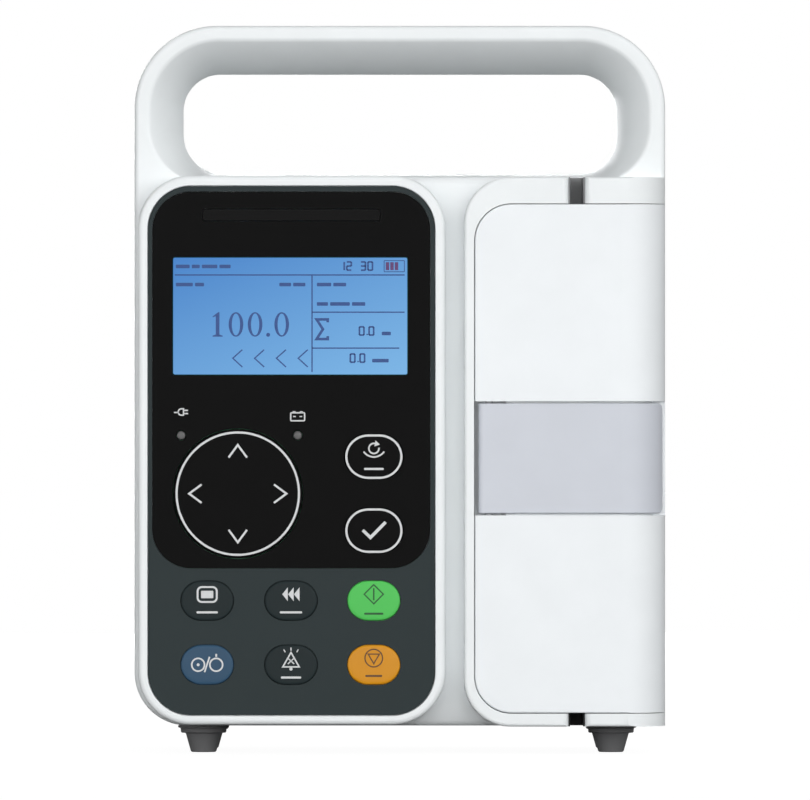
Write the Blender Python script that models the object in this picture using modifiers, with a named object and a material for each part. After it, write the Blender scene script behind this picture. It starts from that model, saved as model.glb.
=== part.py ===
"""Infusion pump: a housing with a carrying handle, a keypad module, and a door over a pump.

Run it with Blender 4.5: blender --background --python part.py

The sizes below are in millimetres, and the helpers turn them into Blender's metres. +Z is up,
the front faces -Y, and +X is on the right of someone who faces the pump. A depth is measured
backwards from the foremost plane. The origin lies under the middle of the pump, on the surface
that it stands on.
"""
import math

import bmesh
import bpy
from mathutils import Vector

MM = 0.001

# Overall size
HALF_WIDTH = 100.0
HANDLE_TOP = 274.2
OVERALL_DEPTH = 150.0

# Main housing and its rear cover
BODY_BOTTOM = 10.5
BODY_TOP = 218.8
FRAME_FRONT = 14.0
FRAME_REAR = 50.0
COVER_REAR = 110.0
FRAME_WALL = 3.5
COVER_WALL = 2.5
GAP = 0.3

# Hand opening under the handle: its narrowest outline, and how far its mouth widens
OPENING_HALF_WIDTH = 81.8
OPENING_TOP = 256.1
MOUTH_SIDE_FLARE = 11.0
MOUTH_LOW_FLARE = 3.5
MOUTH_DEPTH = 14.0

# Control module: bezel, keypad panel and black window, as left, right, low and high
BEZEL = (-98.5, 17.1, 11.1, 217.6)
PANEL = (-94.9, 13.45, 14.45, 213.9)
WINDOW = (-93.1, 11.5, 69.9, 211.6)
DISPLAY = (-85.5, 3.1, 142.5, 187.0)
ALARM_SLOT = (-74.2, -7.3, 200.4, 205.1)
BEZEL_RADIUS = 20.0
PANEL_RADIUS = 16.5
PANEL_FRONT = 0.9
PANEL_BACK = 2.7
LEDGE_DEPTH = 3.0
BOARD_FRONT = 6.2

# Keys: centre x and z, and outline width and height
KEY_TRAVEL = 0.8
UPPER_KEYS = {"clear_key": (-9.75, 111.9), "ok_key": (-9.75, 84.1)}
LOWER_KEYS = {
    "menu_key": (-72.4, 57.8),
    "bolus_key": (-40.9, 57.8),
    "start_key": (-9.8, 57.8),
    "power_key": (-72.4, 33.7),
    "mute_key": (-40.9, 33.7),
    "stop_key": (-9.8, 33.7),
}
UPPER_KEY_SIZE = (22.0, 16.9)
LOWER_KEY_SIZE = (19.8, 14.8)
KEY_CLEARANCE = 0.4
PAD_CENTRE = (-60.9, 98.0)
PAD_RADIUS = 24.2
PAD_PIVOT_DEPTH = 4.5
LED_PLACES = {"mains_led": (-82.2, 119.9), "battery_led": (-38.4, 119.9)}

# Pump module: bezel, door and the tube's path
PUMP_LEFT = 24.2
PUMP_BEZEL_TOP = 217.0
PUMP_BEZEL_BOTTOM = 10.45
PUMP_BEZEL_REAR = 28.0
PUMP_RADIUS = 17.3
PUMP_PLATE_FRONT = 24.8
DOOR_LEFT = 28.5
DOOR_TOP = 206.5
DOOR_BOTTOM = 15.9
DOOR_BACK = 16.5
SIDE_ROUND = 17.0
HINGE_X = 94.0
HINGE_DEPTH = 18.0
HINGE_BARREL = 6.0
LEVER_TOP = 131.9
LEVER_BOTTOM = 90.6
LEVER_PIVOT = (33.5, 4.0)
LEVER_FRONT = 0.8
LEVER_END_ANGLE = -8
HOOK_HEIGHTS = (101.0, 121.0)
TUBE_X = 66.5
CHANNEL_FLOOR = 21.3

# Peristaltic mechanism
FINGER_COUNT = 8
FINGER_PITCH = 6.0
FINGER_MIDDLE = 115.0
FINGER_TIP = 21.0
CAM_DEPTH = 50.0
CAM_RADIUS = 9.0
CAM_OFFSET = 1.0
MOTOR_DEPTH = 84.0
CAM_PULLEY_RADIUS = 12.0
MOTOR_PULLEY_RADIUS = 6.0

# Openings in the rear cover, as left, right, low and high
BATTERY_DOOR = (-12.0, 54.0, 18.0, 70.0)
INLET = (-63.0, -35.0, 27.0, 49.0)
VENT_LEFT = -82.0
VENT_LOW = 168.0
VENT_ROWS = 6

# Feet: centre x and depth
FOOT_PLACES = {
    "foot_front_left": (-74.3, 38.0),
    "foot_front_right": (79.9, 38.0),
    "foot_rear_left": (-74.3, 97.0),
    "foot_rear_right": (79.9, 97.0),
}

# Pole clamp behind the cover
CLAMP_Z = 122.5
CLAMP_DEPTH = 133.0
SPINDLE_RADIUS = 5.0

# Outline smoothness
CORNER_STEPS = 6
ROUND_STEPS = 20


def world(x, depth, z):
    """A place in metres from millimetres and a depth behind the foremost plane."""
    return Vector((x, depth - OVERALL_DEPTH / 2, z)) * MM


def clear_scene():
    for old in list(bpy.data.objects):
        bpy.data.objects.remove(old, do_unlink=True)


def new_collection(name):
    collection = bpy.data.collections.new(name)
    bpy.context.scene.collection.children.link(collection)
    return collection


def material(name, colour, roughness, metallic=0.0):
    finish = bpy.data.materials.new(name)
    finish.use_nodes = True
    shader = finish.node_tree.nodes["Principled BSDF"]
    shader.inputs["Base Color"].default_value = (*colour, 1.0)
    shader.inputs["Roughness"].default_value = roughness
    shader.inputs["Metallic"].default_value = metallic
    finish.diffuse_color = (*colour, 1.0)
    return finish


# Outlines: lists of (u, v) points in millimetres, anticlockwise


def arc(centre_u, centre_v, radius, start, end, steps=CORNER_STEPS):
    """Points along an arc from one angle to another, in degrees, both ends included."""
    points = []
    for step in range(steps + 1):
        angle = math.radians(start + (end - start) * step / steps)
        points.append((centre_u + radius * math.cos(angle), centre_v + radius * math.sin(angle)))
    return points


def rounded_box(left, right, low, high, radii, steps=CORNER_STEPS):
    """A rectangle whose radii run from the lower left corner anticlockwise; 0 is a sharp one."""
    corners = (
        (left, low, 1, 1, 180),
        (right, low, -1, 1, 270),
        (right, high, -1, -1, 0),
        (left, high, 1, -1, 90),
    )
    points = []
    for (u, v, inward_u, inward_v, start), radius in zip(corners, radii):
        if radius == 0:
            points.append((u, v))
        else:
            centre = (u + inward_u * radius, v + inward_v * radius)
            points.extend(arc(*centre, radius, start, start + 90, steps))
    return points


def even_box(left, right, low, high, radius, steps=CORNER_STEPS):
    return rounded_box(left, right, low, high, (radius,) * 4, steps)


def grown(box, by):
    """A left, right, low, high box made larger, or smaller, on every side."""
    left, right, low, high = box
    return (left - by, right + by, low - by, high + by)


def circle(centre_u, centre_v, radius, steps=ROUND_STEPS):
    return arc(centre_u, centre_v, radius, 0, 360, steps)[:-1]


def key_outline(centre, size, steps=7):
    """A pill with elliptical ends and flat sides."""
    width, height = size
    end = 0.52 * height
    straight = width / 2 - end
    points = []
    for side, start in ((1, -90), (-1, 90)):
        for u, v in arc(0, 0, 1, start, start + 180, steps):
            points.append((centre[0] + side * straight + u * end, centre[1] + v * height / 2))
    return points


def belt_outline(front_radius, rear_radius):
    """A loop round the camshaft's and the motor's pulleys, seen from above."""
    lean = math.degrees(math.asin((front_radius - rear_radius) / (MOTOR_DEPTH - CAM_DEPTH)))
    rear = arc(TUBE_X, MOTOR_DEPTH, rear_radius, lean, 180 - lean)
    front = arc(TUBE_X, CAM_DEPTH, front_radius, 180 - lean, 360 + lean, 2 * CORNER_STEPS)
    return rear + front


def side_arc(radius, start=-90, end=0):
    """The rounded front right corner of the pump module, seen from above."""
    return arc(HALF_WIDTH - SIDE_ROUND, SIDE_ROUND, radius, start, end)


# Solids


class Workshop:
    """Holds the two collections, and makes solids in them."""

    def __init__(self, parts, cutters):
        self.parts = parts
        self.cutters = cutters

    def link(self, thing, is_part):
        if is_part:
            self.parts.objects.link(thing)
        else:
            self.cutters.objects.link(thing)
            thing.hide_render = True
            thing.display_type = "WIRE"
        return thing

    def finish_mesh(self, name, shape, is_part):
        bmesh.ops.remove_doubles(shape, verts=shape.verts, dist=0.002 * MM)
        bmesh.ops.recalc_face_normals(shape, faces=shape.faces)
        mesh = bpy.data.meshes.new(name)
        shape.to_mesh(mesh)
        shape.free()
        mesh.shade_smooth()
        mesh.set_sharp_from_angle(angle=math.radians(35))
        return self.link(bpy.data.objects.new(name, mesh), is_part)

    def extruded(self, name, loops, low, high, along="Y", is_part=True):
        """A flat outline with its holes, made solid between two planes.

        Along Y the outline is in x and z, along Z in x and depth, along X in depth and z.
        """
        curve = bpy.data.curves.new(name + "_outline", "CURVE")
        curve.dimensions = "2D"
        curve.fill_mode = "BOTH"
        curve.extrude = (high - low) / 2
        for loop in loops:
            spline = curve.splines.new("POLY")
            spline.points.add(len(loop) - 1)
            for point, (u, v) in zip(spline.points, loop):
                point.co = (u, v, 0, 1)
            spline.use_cyclic_u = True
        guide = bpy.data.objects.new(name + "_outline", curve)
        bpy.context.scene.collection.objects.link(guide)
        graph = bpy.context.evaluated_depsgraph_get()
        flat = bpy.data.meshes.new_from_object(guide.evaluated_get(graph))
        bpy.data.objects.remove(guide, do_unlink=True)
        shape = bmesh.new()
        shape.from_mesh(flat)
        bpy.data.meshes.remove(flat)
        for vert in shape.verts:
            u, v, t = vert.co
            t += (low + high) / 2
            order = {"X": (t, u, v), "Y": (u, t, v), "Z": (u, v, t)}[along]
            vert.co = world(*order)
        bmesh.ops.remove_doubles(shape, verts=shape.verts, dist=0.002 * MM)
        bmesh.ops.dissolve_limit(
            shape, angle_limit=math.radians(0.2), verts=shape.verts, edges=shape.edges
        )
        return self.finish_mesh(name, shape, is_part)

    def stacked(self, name, sections, along="Y", is_part=True):
        """A loft through outlines with equal point counts, each with its place along an axis."""
        shape = bmesh.new()
        rings = []
        for outline, place in sections:
            ring = []
            for u, v in outline:
                order = {"Y": (u, place, v), "Z": (u, v, place)}[along]
                ring.append(shape.verts.new(world(*order)))
            rings.append(ring)
        count = len(rings[0])
        for near, far in zip(rings, rings[1:]):
            for index in range(count):
                following = (index + 1) % count
                shape.faces.new((near[index], near[following], far[following], far[index]))
        shape.faces.new(rings[0])
        shape.faces.new(rings[-1])
        return self.finish_mesh(name, shape, is_part)

    def turned(self, name, profile, place, along="Z", is_ring=False, steps=ROUND_STEPS):
        """A profile of (radius, distance) turned round an axis through place."""
        edges = [(index, index + 1) for index in range(len(profile) - 1)]
        if is_ring:
            edges.append((len(profile) - 1, 0))
        mesh = bpy.data.meshes.new(name)
        mesh.from_pydata([(r * MM, 0, h * MM) for r, h in profile], edges, [])
        thing = self.link(bpy.data.objects.new(name, mesh), True)
        screw = thing.modifiers.new("turn", "SCREW")
        screw.steps = steps
        screw.render_steps = steps
        screw.use_merge_vertices = True
        screw.merge_threshold = 0.002 * MM
        screw.use_smooth_shade = True
        thing.location = world(*place)
        if along == "X":
            thing.rotation_euler = (0, math.radians(90), 0)
        return thing

    def cut(self, target, tool, operation="DIFFERENCE"):
        boolean = target.modifiers.new(tool.name, "BOOLEAN")
        boolean.operation = operation
        boolean.object = tool

    def cut_extruded(self, target, name, loops, low, high, along="Y", operation="DIFFERENCE"):
        tool = self.extruded(name, loops, low, high, along, is_part=False)
        self.cut(target, tool, operation)
        return tool


def round_edges(thing, width, segments, end=None):
    """Bevel the sharp edges: all of them, or only those of the front or the rear face."""
    bevel = thing.modifiers.new("round", "BEVEL")
    bevel.width = width * MM
    bevel.segments = segments
    bevel.use_clamp_overlap = False
    if end is None:
        bevel.limit_method = "ANGLE"
        bevel.angle_limit = math.radians(50)
        return
    bevel.limit_method = "WEIGHT"
    mesh = thing.data
    depths = [vert.co.y for vert in mesh.vertices]
    plane = min(depths) if end == "front" else max(depths)
    weights = mesh.attributes.new("bevel_weight_edge", "FLOAT", "EDGE")
    for edge in mesh.edges:
        ends = [mesh.vertices[index].co.y for index in edge.vertices]
        if all(abs(depth - plane) < 0.01 * MM for depth in ends):
            weights.data[edge.index].value = 1.0


def set_pivot(thing, x, depth, z):
    """Move the origin to a point on the piece's joint axis."""
    place = world(x, depth, z)
    for vert in thing.data.vertices:
        vert.co -= place - thing.location
    thing.location = place


def attach(child, parent):
    """Parent a piece to another one, and keep it where it is."""
    bpy.context.view_layer.update()
    child.parent = parent
    child.matrix_parent_inverse = parent.matrix_world.inverted()


def paint(thing, finish):
    thing.data.materials.clear()
    thing.data.materials.append(finish)


# Housing


def opening_outline(flare):
    """The hand opening's outline; flare runs from 0 at its waist to 1 at its mouth."""
    side = OPENING_HALF_WIDTH + MOUTH_SIDE_FLARE * flare
    low = BODY_TOP - MOUTH_LOW_FLARE * flare
    high = OPENING_TOP + MOUTH_SIDE_FLARE * flare
    low_radius = 15.0 + 6.0 * flare
    high_radius = 14.0 + MOUTH_SIDE_FLARE * flare
    return rounded_box(-side, side, low, high, (low_radius, low_radius, high_radius, high_radius))


def handle_opening(shop):
    """A cutter whose mouths are rounded like a quarter of an ellipse."""
    steps = 5
    mouth = []
    for step in range(steps + 1):
        along = step / steps
        flare = 1 - math.sqrt(1 - (1 - along) ** 2)
        mouth.append((flare, MOUTH_DEPTH * along))
    sections = [(opening_outline(1), FRAME_FRONT - 1)]
    sections += [(opening_outline(flare), FRAME_FRONT + depth) for flare, depth in mouth]
    sections += [(opening_outline(flare), FRAME_REAR - depth) for flare, depth in reversed(mouth)]
    sections.append((opening_outline(1), FRAME_REAR + 1))
    return shop.stacked("cut_hand_opening", sections, is_part=False)


def groove_rib(shop):
    """The floor of the groove between the two modules, rounded off at its top and bottom.

    It runs on behind the rounded corners of both modules, and stops just short of them.
    """
    front = 9.5
    rear = FRAME_FRONT + 2
    top = BEZEL[3]
    lower_end = [(rear - (rear - front) * math.cos(a), 31 - 20.5 * math.sin(a))
                 for a in (math.radians(90 * step / 8) for step in range(9))]
    upper_end = arc(front + 4, top - 4, 4, 90, 180, 4)
    outline = lower_end[::-1] + upper_end[::-1] + [(rear, top)]
    left = BEZEL[1] - BEZEL_RADIUS
    right = PUMP_LEFT + PUMP_RADIUS
    rib = shop.extruded("add_groove_rib", [outline], left, right, "X", False)
    beside_controls = even_box(*grown(BEZEL, GAP), BEZEL_RADIUS + GAP, 12)
    shop.cut_extruded(rib, "cut_beside_controls", [beside_controls], -1, FRAME_FRONT)
    return rib


def make_main_frame(shop, finish):
    outer = rounded_box(-HALF_WIDTH, HALF_WIDTH, BODY_BOTTOM, HANDLE_TOP, (20, 8, 31, 31), 9)
    frame = shop.extruded("main_frame", [outer], FRAME_FRONT, FRAME_REAR)
    round_edges(frame, 5, 4)
    shop.cut(frame, groove_rib(shop), "UNION")
    shop.cut(frame, handle_opening(shop))
    inner = HALF_WIDTH - FRAME_WALL
    cavity = rounded_box(-inner, inner, BODY_BOTTOM + FRAME_WALL, BODY_TOP - 4, (16, 5, 12, 12))
    shop.cut_extruded(frame, "cut_cavity", [cavity], FRAME_FRONT + 3, FRAME_REAR + 1)
    window = even_box(*grown(PANEL, -4.85), 12)
    shop.cut_extruded(frame, "cut_control_window", [window], FRAME_FRONT - 8, FRAME_FRONT + 4)
    corner = PUMP_RADIUS + GAP
    recess = rounded_box(
        PUMP_LEFT - GAP, HALF_WIDTH + 2, PUMP_BEZEL_BOTTOM - GAP, PUMP_BEZEL_TOP + GAP,
        (corner, 0, 0, corner), 12,
    )
    shop.cut_extruded(frame, "cut_pump_recess", [recess], -1, PUMP_BEZEL_REAR + GAP)
    shop.cut_extruded(frame, "cut_tube_notch", [tube_slot()], PUMP_BEZEL_TOP - 1, BODY_TOP + 1, "Z")
    paint(frame, finish)


def make_rear_cover(shop, finish):
    side = HALF_WIDTH - 3
    low = BODY_BOTTOM + GAP
    high = BODY_TOP - 3.8
    radii = (17, 8, 14, 17)
    cover = shop.extruded(
        "rear_cover", [rounded_box(-side, side, low, high, radii)], FRAME_REAR + GAP, COVER_REAR
    )
    round_edges(cover, 6, 3, "rear")
    inner = rounded_box(
        -side + COVER_WALL, side - COVER_WALL, low + COVER_WALL, high - COVER_WALL,
        [radius - COVER_WALL for radius in radii],
    )
    cavity = shop.extruded(
        "cut_cover_cavity", [inner], FRAME_REAR - 1, COVER_REAR - COVER_WALL, is_part=False
    )
    round_edges(cavity, 4, 2, "rear")
    shop.cut(cover, cavity)
    holes = {"cut_battery_bay": BATTERY_DOOR, "cut_inlet_hole": grown(INLET, GAP)}
    for row in range(VENT_ROWS):
        low_edge = VENT_LOW + 5.0 * row
        holes[f"cut_vent_{row + 1}"] = (VENT_LEFT, VENT_LEFT + 44, low_edge, low_edge + 2.2)
    for name, hole in holes.items():
        shop.cut_extruded(cover, name, [even_box(*hole, 1, 2)], COVER_REAR - 5, COVER_REAR + 1)
    paint(cover, finish)


def make_feet(shop, finish):
    top = BODY_BOTTOM - GAP
    profile = [(0, top), (9.7, top), (8.6, 9.2), (8.6, 7.3), (6.7, 7.2), (4.8, 0), (0, 0)]
    for name, (x, depth) in FOOT_PLACES.items():
        foot = shop.turned(name, profile, (x, depth, 0))
        paint(foot, finish)


def make_electronics(shop, finishes):
    board = rounded_box(-89.5, 8.1, 20, 134, (11.5, 11.5, 1, 1))
    keypad_board = shop.extruded("keypad_board", [board], BOARD_FRONT, BOARD_FRONT + 1.6)
    paint(keypad_board, finishes["board"])

    main_board = shop.extruded("main_board", [even_box(-88, 8, 24, 200, 3, 3)], 24, 25.6)
    for index, chip in enumerate(((-60, -38, 110, 132), (-20, -6, 60, 90), (-75, -50, 40, 52))):
        shop.cut_extruded(
            main_board, f"add_chip_{index + 1}", [even_box(*chip, 0.6, 2)], 25, 29, "Y", "UNION"
        )
    paint(main_board, finishes["board"])

    supply = shop.extruded("power_supply", [even_box(-90, -30, 20, 70, 2, 2)], 56, 88)
    paint(supply, finishes["steel"])
    battery = shop.extruded("battery_pack", [even_box(-8, 50, 22, 66, 4, 3)], 84, 106)
    paint(battery, finishes["battery"])
    door = shop.extruded(
        "battery_cover", [even_box(*grown(BATTERY_DOOR, -GAP), 1, 2)], COVER_REAR - 2.2, COVER_REAR
    )
    paint(door, finishes["shell"])


def make_inlet(shop, finish):
    """The mains socket: a flange, a body behind it, and three blades in its hollow."""
    flange = even_box(*grown(INLET, 4), 3, 5)
    body = even_box(*INLET, 1, 5)
    inlet = shop.stacked(
        "ac_inlet",
        [(flange, COVER_REAR + 2.3), (flange, COVER_REAR + GAP), (body, COVER_REAR + GAP), (body, 92)],
    )
    left, right, low, high = grown(INLET, -2)
    mouth = [(left, low), (right, low), (right, high - 4), (right - 4, high), (left + 4, high),
             (left, high - 4)]
    hollow = shop.extruded("cut_inlet_mouth", [mouth], 94, COVER_REAR + 4, is_part=False)
    shop.cut(inlet, hollow)
    middle = (left + right) / 2
    for index, (x, z) in enumerate(((middle - 7, 36), (middle, 40), (middle + 7, 36))):
        blade = even_box(x - 1, x + 1, z - 2, z + 2, 0.4, 2)
        shop.cut_extruded(inlet, f"add_blade_{index + 1}", [blade], 93, 107, "Y", "UNION")
    paint(inlet, finish)


# Control module


def make_control_bezel(shop, finish):
    bezel = shop.extruded(
        "control_bezel", [even_box(*BEZEL, BEZEL_RADIUS, 9)], 0, FRAME_FRONT - GAP
    )
    round_edges(bezel, 2, 4, "front")
    shop.cut_extruded(
        bezel, "cut_panel_recess", [even_box(*PANEL, PANEL_RADIUS, 9)], -1, LEDGE_DEPTH
    )
    shop.cut_extruded(
        bezel, "cut_bezel_hole", [even_box(*grown(PANEL, -3.9), 13)], LEDGE_DEPTH - 1, FRAME_FRONT + 1
    )
    paint(bezel, finish)


def make_panels(shop, finishes):
    window_radii = (14.8, 14.8, 14.5, 14.5)
    loops = [even_box(*grown(PANEL, -GAP), PANEL_RADIUS - GAP, 9), rounded_box(*WINDOW, window_radii)]
    for centre in LOWER_KEYS.values():
        width, height = LOWER_KEY_SIZE
        loops.append(key_outline(centre, (width + 2 * KEY_CLEARANCE, height + 2 * KEY_CLEARANCE)))
    panel = shop.extruded("keypad_panel", loops, PANEL_FRONT, PANEL_BACK)
    paint(panel, finishes["slate"])

    inner_radii = [radius - GAP for radius in window_radii]
    loops = [rounded_box(*grown(WINDOW, -GAP), inner_radii), even_box(*DISPLAY, 0.8, 2)]
    for centre in UPPER_KEYS.values():
        width, height = UPPER_KEY_SIZE
        loops.append(key_outline(centre, (width + 2 * KEY_CLEARANCE, height + 2 * KEY_CLEARANCE)))
    loops.append(circle(*PAD_CENTRE, PAD_RADIUS + KEY_CLEARANCE, 36))
    loops.append(even_box(*ALARM_SLOT, 1, 2))
    for centre in LED_PLACES.values():
        loops.append(circle(*centre, 1.6 + GAP, 12))
    window = shop.extruded("display_window", loops, PANEL_FRONT - 0.1, PANEL_BACK - 0.1)
    paint(window, finishes["black"])


def make_display(shop, finishes):
    glass = even_box(*grown(DISPLAY, -GAP), 0.6, 2)
    body = even_box(-88, 5.6, 139.5, 190, 0.6, 2)
    display = shop.stacked(
        "lcd_module", [(glass, 1.3), (glass, LEDGE_DEPTH), (body, LEDGE_DEPTH), (body, 9)]
    )
    paint(display, finishes["lcd"])

    strip = even_box(*grown(ALARM_SLOT, -GAP), 0.8, 2)
    base = even_box(*grown(ALARM_SLOT, 1.4), 0.8, 2)
    alarm = shop.stacked(
        "alarm_light", [(strip, 0.9), (strip, LEDGE_DEPTH), (base, LEDGE_DEPTH), (base, 6)]
    )
    paint(alarm, finishes["smoke"])

    for name, centre in LED_PLACES.items():
        lens = circle(*centre, 1.6, 12)
        foot = circle(*centre, 2.4, 12)
        led = shop.stacked(
            name,
            [(lens, 0.8), (lens, LEDGE_DEPTH), (foot, LEDGE_DEPTH), (foot, BOARD_FRONT - GAP)],
        )
        paint(led, finishes["lens"])


def make_key(shop, name, centre, size, front, finish):
    """A cap with a soft front edge, a flange that holds it behind the panel, and a plunger."""
    width, height = size
    inset = key_outline(centre, (width - 0.8, height - 0.8))
    cap = key_outline(centre, size)
    flange = key_outline(centre, (width + 3, height + 3))
    plunger = key_outline(centre, (7.0, 6.0))
    plunger_end = BOARD_FRONT - KEY_TRAVEL - 0.4
    sections = [
        (inset, front), (cap, front + 0.3), (cap, LEDGE_DEPTH), (flange, LEDGE_DEPTH),
        (flange, LEDGE_DEPTH + 1), (plunger, LEDGE_DEPTH + 1), (plunger, plunger_end),
    ]
    key = shop.stacked(name, sections)
    set_pivot(key, centre[0], LEDGE_DEPTH, centre[1])
    paint(key, finish)


def make_keys(shop, finishes):
    for name, centre in UPPER_KEYS.items():
        make_key(shop, name, centre, UPPER_KEY_SIZE, 0.6, finishes["black"])
    colours = {"start_key": "green", "stop_key": "orange", "power_key": "blue"}
    for name, centre in LOWER_KEYS.items():
        finish = finishes[colours.get(name, "slate")]
        make_key(shop, name, centre, LOWER_KEY_SIZE, 0.4, finish)


def make_pad(shop, finishes):
    """The four-way pad: a disc whose post tilts in a small gimbal plate."""
    x, z = PAD_CENTRE
    gimbal_box = even_box(x - 7, x + 7, z - 7, z + 7, 2, 3)
    gimbal = shop.extruded("dpad_gimbal", [gimbal_box, circle(x, z, 3.7, 16)], 3.9, 5.2)
    set_pivot(gimbal, x, PAD_PIVOT_DEPTH, z)
    paint(gimbal, finishes["feet"])

    rim = circle(x, z, PAD_RADIUS, 36)
    soft_rim = circle(x, z, PAD_RADIUS - 0.4, 36)
    post = circle(x, z, 3, 36)
    pad = shop.stacked(
        "dpad_rocker", [(soft_rim, 0.6), (rim, 0.9), (rim, 3.0), (post, 3.0), (post, 5.6)]
    )
    set_pivot(pad, x, PAD_PIVOT_DEPTH, z)
    paint(pad, finishes["black"])
    attach(pad, gimbal)


# Pump module


def tube_slot():
    """The tube's slot through the bezel and the frame above it, seen from above.

    It has a rounded mouth and a flat floor.
    """
    half = 3.1
    flare = 2.4
    corner = 1.0
    left_lip = arc(TUBE_X - half - flare, flare, flare, -90, 0, 4)
    right_lip = arc(TUBE_X + half + flare, flare, flare, 180, 270, 4)
    floor = arc(TUBE_X + half - corner, CHANNEL_FLOOR - corner, corner, 0, 90, 3)
    floor += arc(TUBE_X - half + corner, CHANNEL_FLOOR - corner, corner, 90, 180, 3)
    mouth = [(TUBE_X - half - flare, -1), (TUBE_X + half + flare, -1)]
    return mouth + right_lip[::-1] + floor + left_lip[::-1]


def make_pump_bezel(shop, finish):
    """A tray that is open on the right, where the door's hinge side wraps round."""
    outline = rounded_box(
        PUMP_LEFT, HALF_WIDTH + 1, PUMP_BEZEL_BOTTOM, PUMP_BEZEL_TOP,
        (PUMP_RADIUS, 0, 0, PUMP_RADIUS), 9,
    )
    bezel = shop.extruded("pump_bezel", [outline], 0, PUMP_BEZEL_REAR)
    round_edges(bezel, 1.4, 3, "front")
    plan = [(20, -1), (HALF_WIDTH - SIDE_ROUND, -1)] + side_arc(SIDE_ROUND)
    plan += [(HALF_WIDTH, 30), (20, 30)]
    shop.cut_extruded(bezel, "keep_bezel_plan", [plan], 0, 230, "Z", "INTERSECT")
    tray = rounded_box(
        DOOR_LEFT - 1.1, HALF_WIDTH + 2, DOOR_BOTTOM - 1, DOOR_TOP + 1.3, (14.4, 0, 0, 14.4), 9
    )
    shop.cut_extruded(bezel, "cut_tray", [tray], -1, PUMP_PLATE_FRONT)
    for index, middle in enumerate(HOOK_HEIGHTS):
        striker = [(34.2, 11), (35.4, 11), (35.4, 26), (34.2, 26)]
        shop.cut_extruded(
            bezel, f"add_striker_{index + 1}", [striker], middle - 3, middle + 3, "Z", "UNION"
        )
    slot = even_box(TUBE_X - 9.5, TUBE_X + 9.5, 36, 174, 2, 2)
    shop.cut_extruded(bezel, "cut_mechanism_slot", [slot], 23, 30)
    shop.cut_extruded(bezel, "cut_tube_slot", [tube_slot()], 8, 219, "Z")
    bore = circle(HINGE_X, HINGE_DEPTH, 2.05, 16)
    shop.cut_extruded(bezel, "cut_pin_bores", [bore], 11.7, 214, "Z")
    paint(bezel, finish)


def make_door_shell(shop, finish):
    outline = rounded_box(
        DOOR_LEFT, HALF_WIDTH + 1, DOOR_BOTTOM, DOOR_TOP, (13.5, 0, 0, 13.5), 9
    )
    door = shop.extruded("door_shell", [outline], 0, 30)
    round_edges(door, 1.0, 3, "front")
    plan = [(20, -1), (HALF_WIDTH - SIDE_ROUND, -1)] + side_arc(SIDE_ROUND)
    plan += arc(HINGE_X, HINGE_DEPTH, HINGE_BARREL, 0, 180, 12)
    plan += [(HINGE_X - HINGE_BARREL, DOOR_BACK), (20, DOOR_BACK)]
    shop.cut_extruded(door, "keep_door_plan", [plan], 0, 230, "Z", "INTERSECT")

    right = HINGE_X - 7.7
    upper = rounded_box(31, right, 134.7, 204, (2, 2, 2, 11), 5)
    lower = rounded_box(31, right, 18.4, 87.8, (11, 2, 2, 2), 5)
    shop.cut_extruded(door, "cut_upper_hollow", [upper], 2.5, 18)
    shop.cut_extruded(door, "cut_lower_hollow", [lower], 2.5, 18)
    middle = rounded_box(30.8, right + 0.2, 18.2, 204.2, (11.2, 2, 2, 11.2), 5)
    shop.cut_extruded(door, "cut_middle_hollow", [middle], 10.3, 18.5)

    pocket = [(20, -2), (102, -2), (102, 15.3)]
    pocket += side_arc(12.4, LEVER_END_ANGLE, -90)
    pocket += [(40, 4.6), (38, 8.3), (20, 8.3)]
    shop.cut_extruded(
        door, "cut_lever_pocket", [pocket], LEVER_BOTTOM - 0.8, LEVER_TOP + 0.8, "Z"
    )
    for index, height in enumerate(HOOK_HEIGHTS):
        slot = even_box(35, 46, height - 2.8, height + 2.8, 0.5, 2)
        shop.cut_extruded(door, f"cut_hook_slot_{index + 1}", [slot], 3, 11)
    pin_hole = circle(*LEVER_PIVOT, 1.8, 16)
    shop.cut_extruded(door, "cut_lever_pin_hole", [pin_hole], 87, 135.5, "Z")
    bore = circle(HINGE_X, HINGE_DEPTH, 2.1, 16)
    shop.cut_extruded(door, "cut_hinge_bore", [bore], 10, 215, "Z")
    set_pivot(door, HINGE_X, HINGE_DEPTH, DOOR_BOTTOM)
    paint(door, finish)
    return door


def make_door_lining(shop, door, finishes):
    loops = [rounded_box(31.4, 86, 18.8, 203.6, (10.6, 1, 1, 10.6), 5)]
    loops.append(even_box(60.4, 72.6, 85.5, 144.5, 0.8, 2))
    for height in HOOK_HEIGHTS:
        loops.append(even_box(33.2, 36.2, height - 4, height + 4, 0.5, 2))
    lining = shop.extruded("door_inner_plate", loops, 14.5, DOOR_BACK)
    set_pivot(lining, HINGE_X, HINGE_DEPTH, DOOR_BOTTOM)
    paint(lining, finishes["lever"])
    attach(lining, door)

    flange = even_box(58, 75, 83, 147, 1, 3)
    face = even_box(61, 72, 86.2, 143.8, 1, 3)
    soft_face = even_box(61.6, 71.4, 86.8, 143.2, 1, 3)
    platen = shop.stacked(
        "platen", [(flange, 11.8), (flange, 13.8), (face, 13.8), (face, 16.6), (soft_face, 17.0)]
    )
    set_pivot(platen, TUBE_X, 13.8, FINGER_MIDDLE)
    paint(platen, finishes["steel"])
    attach(platen, door)


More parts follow.
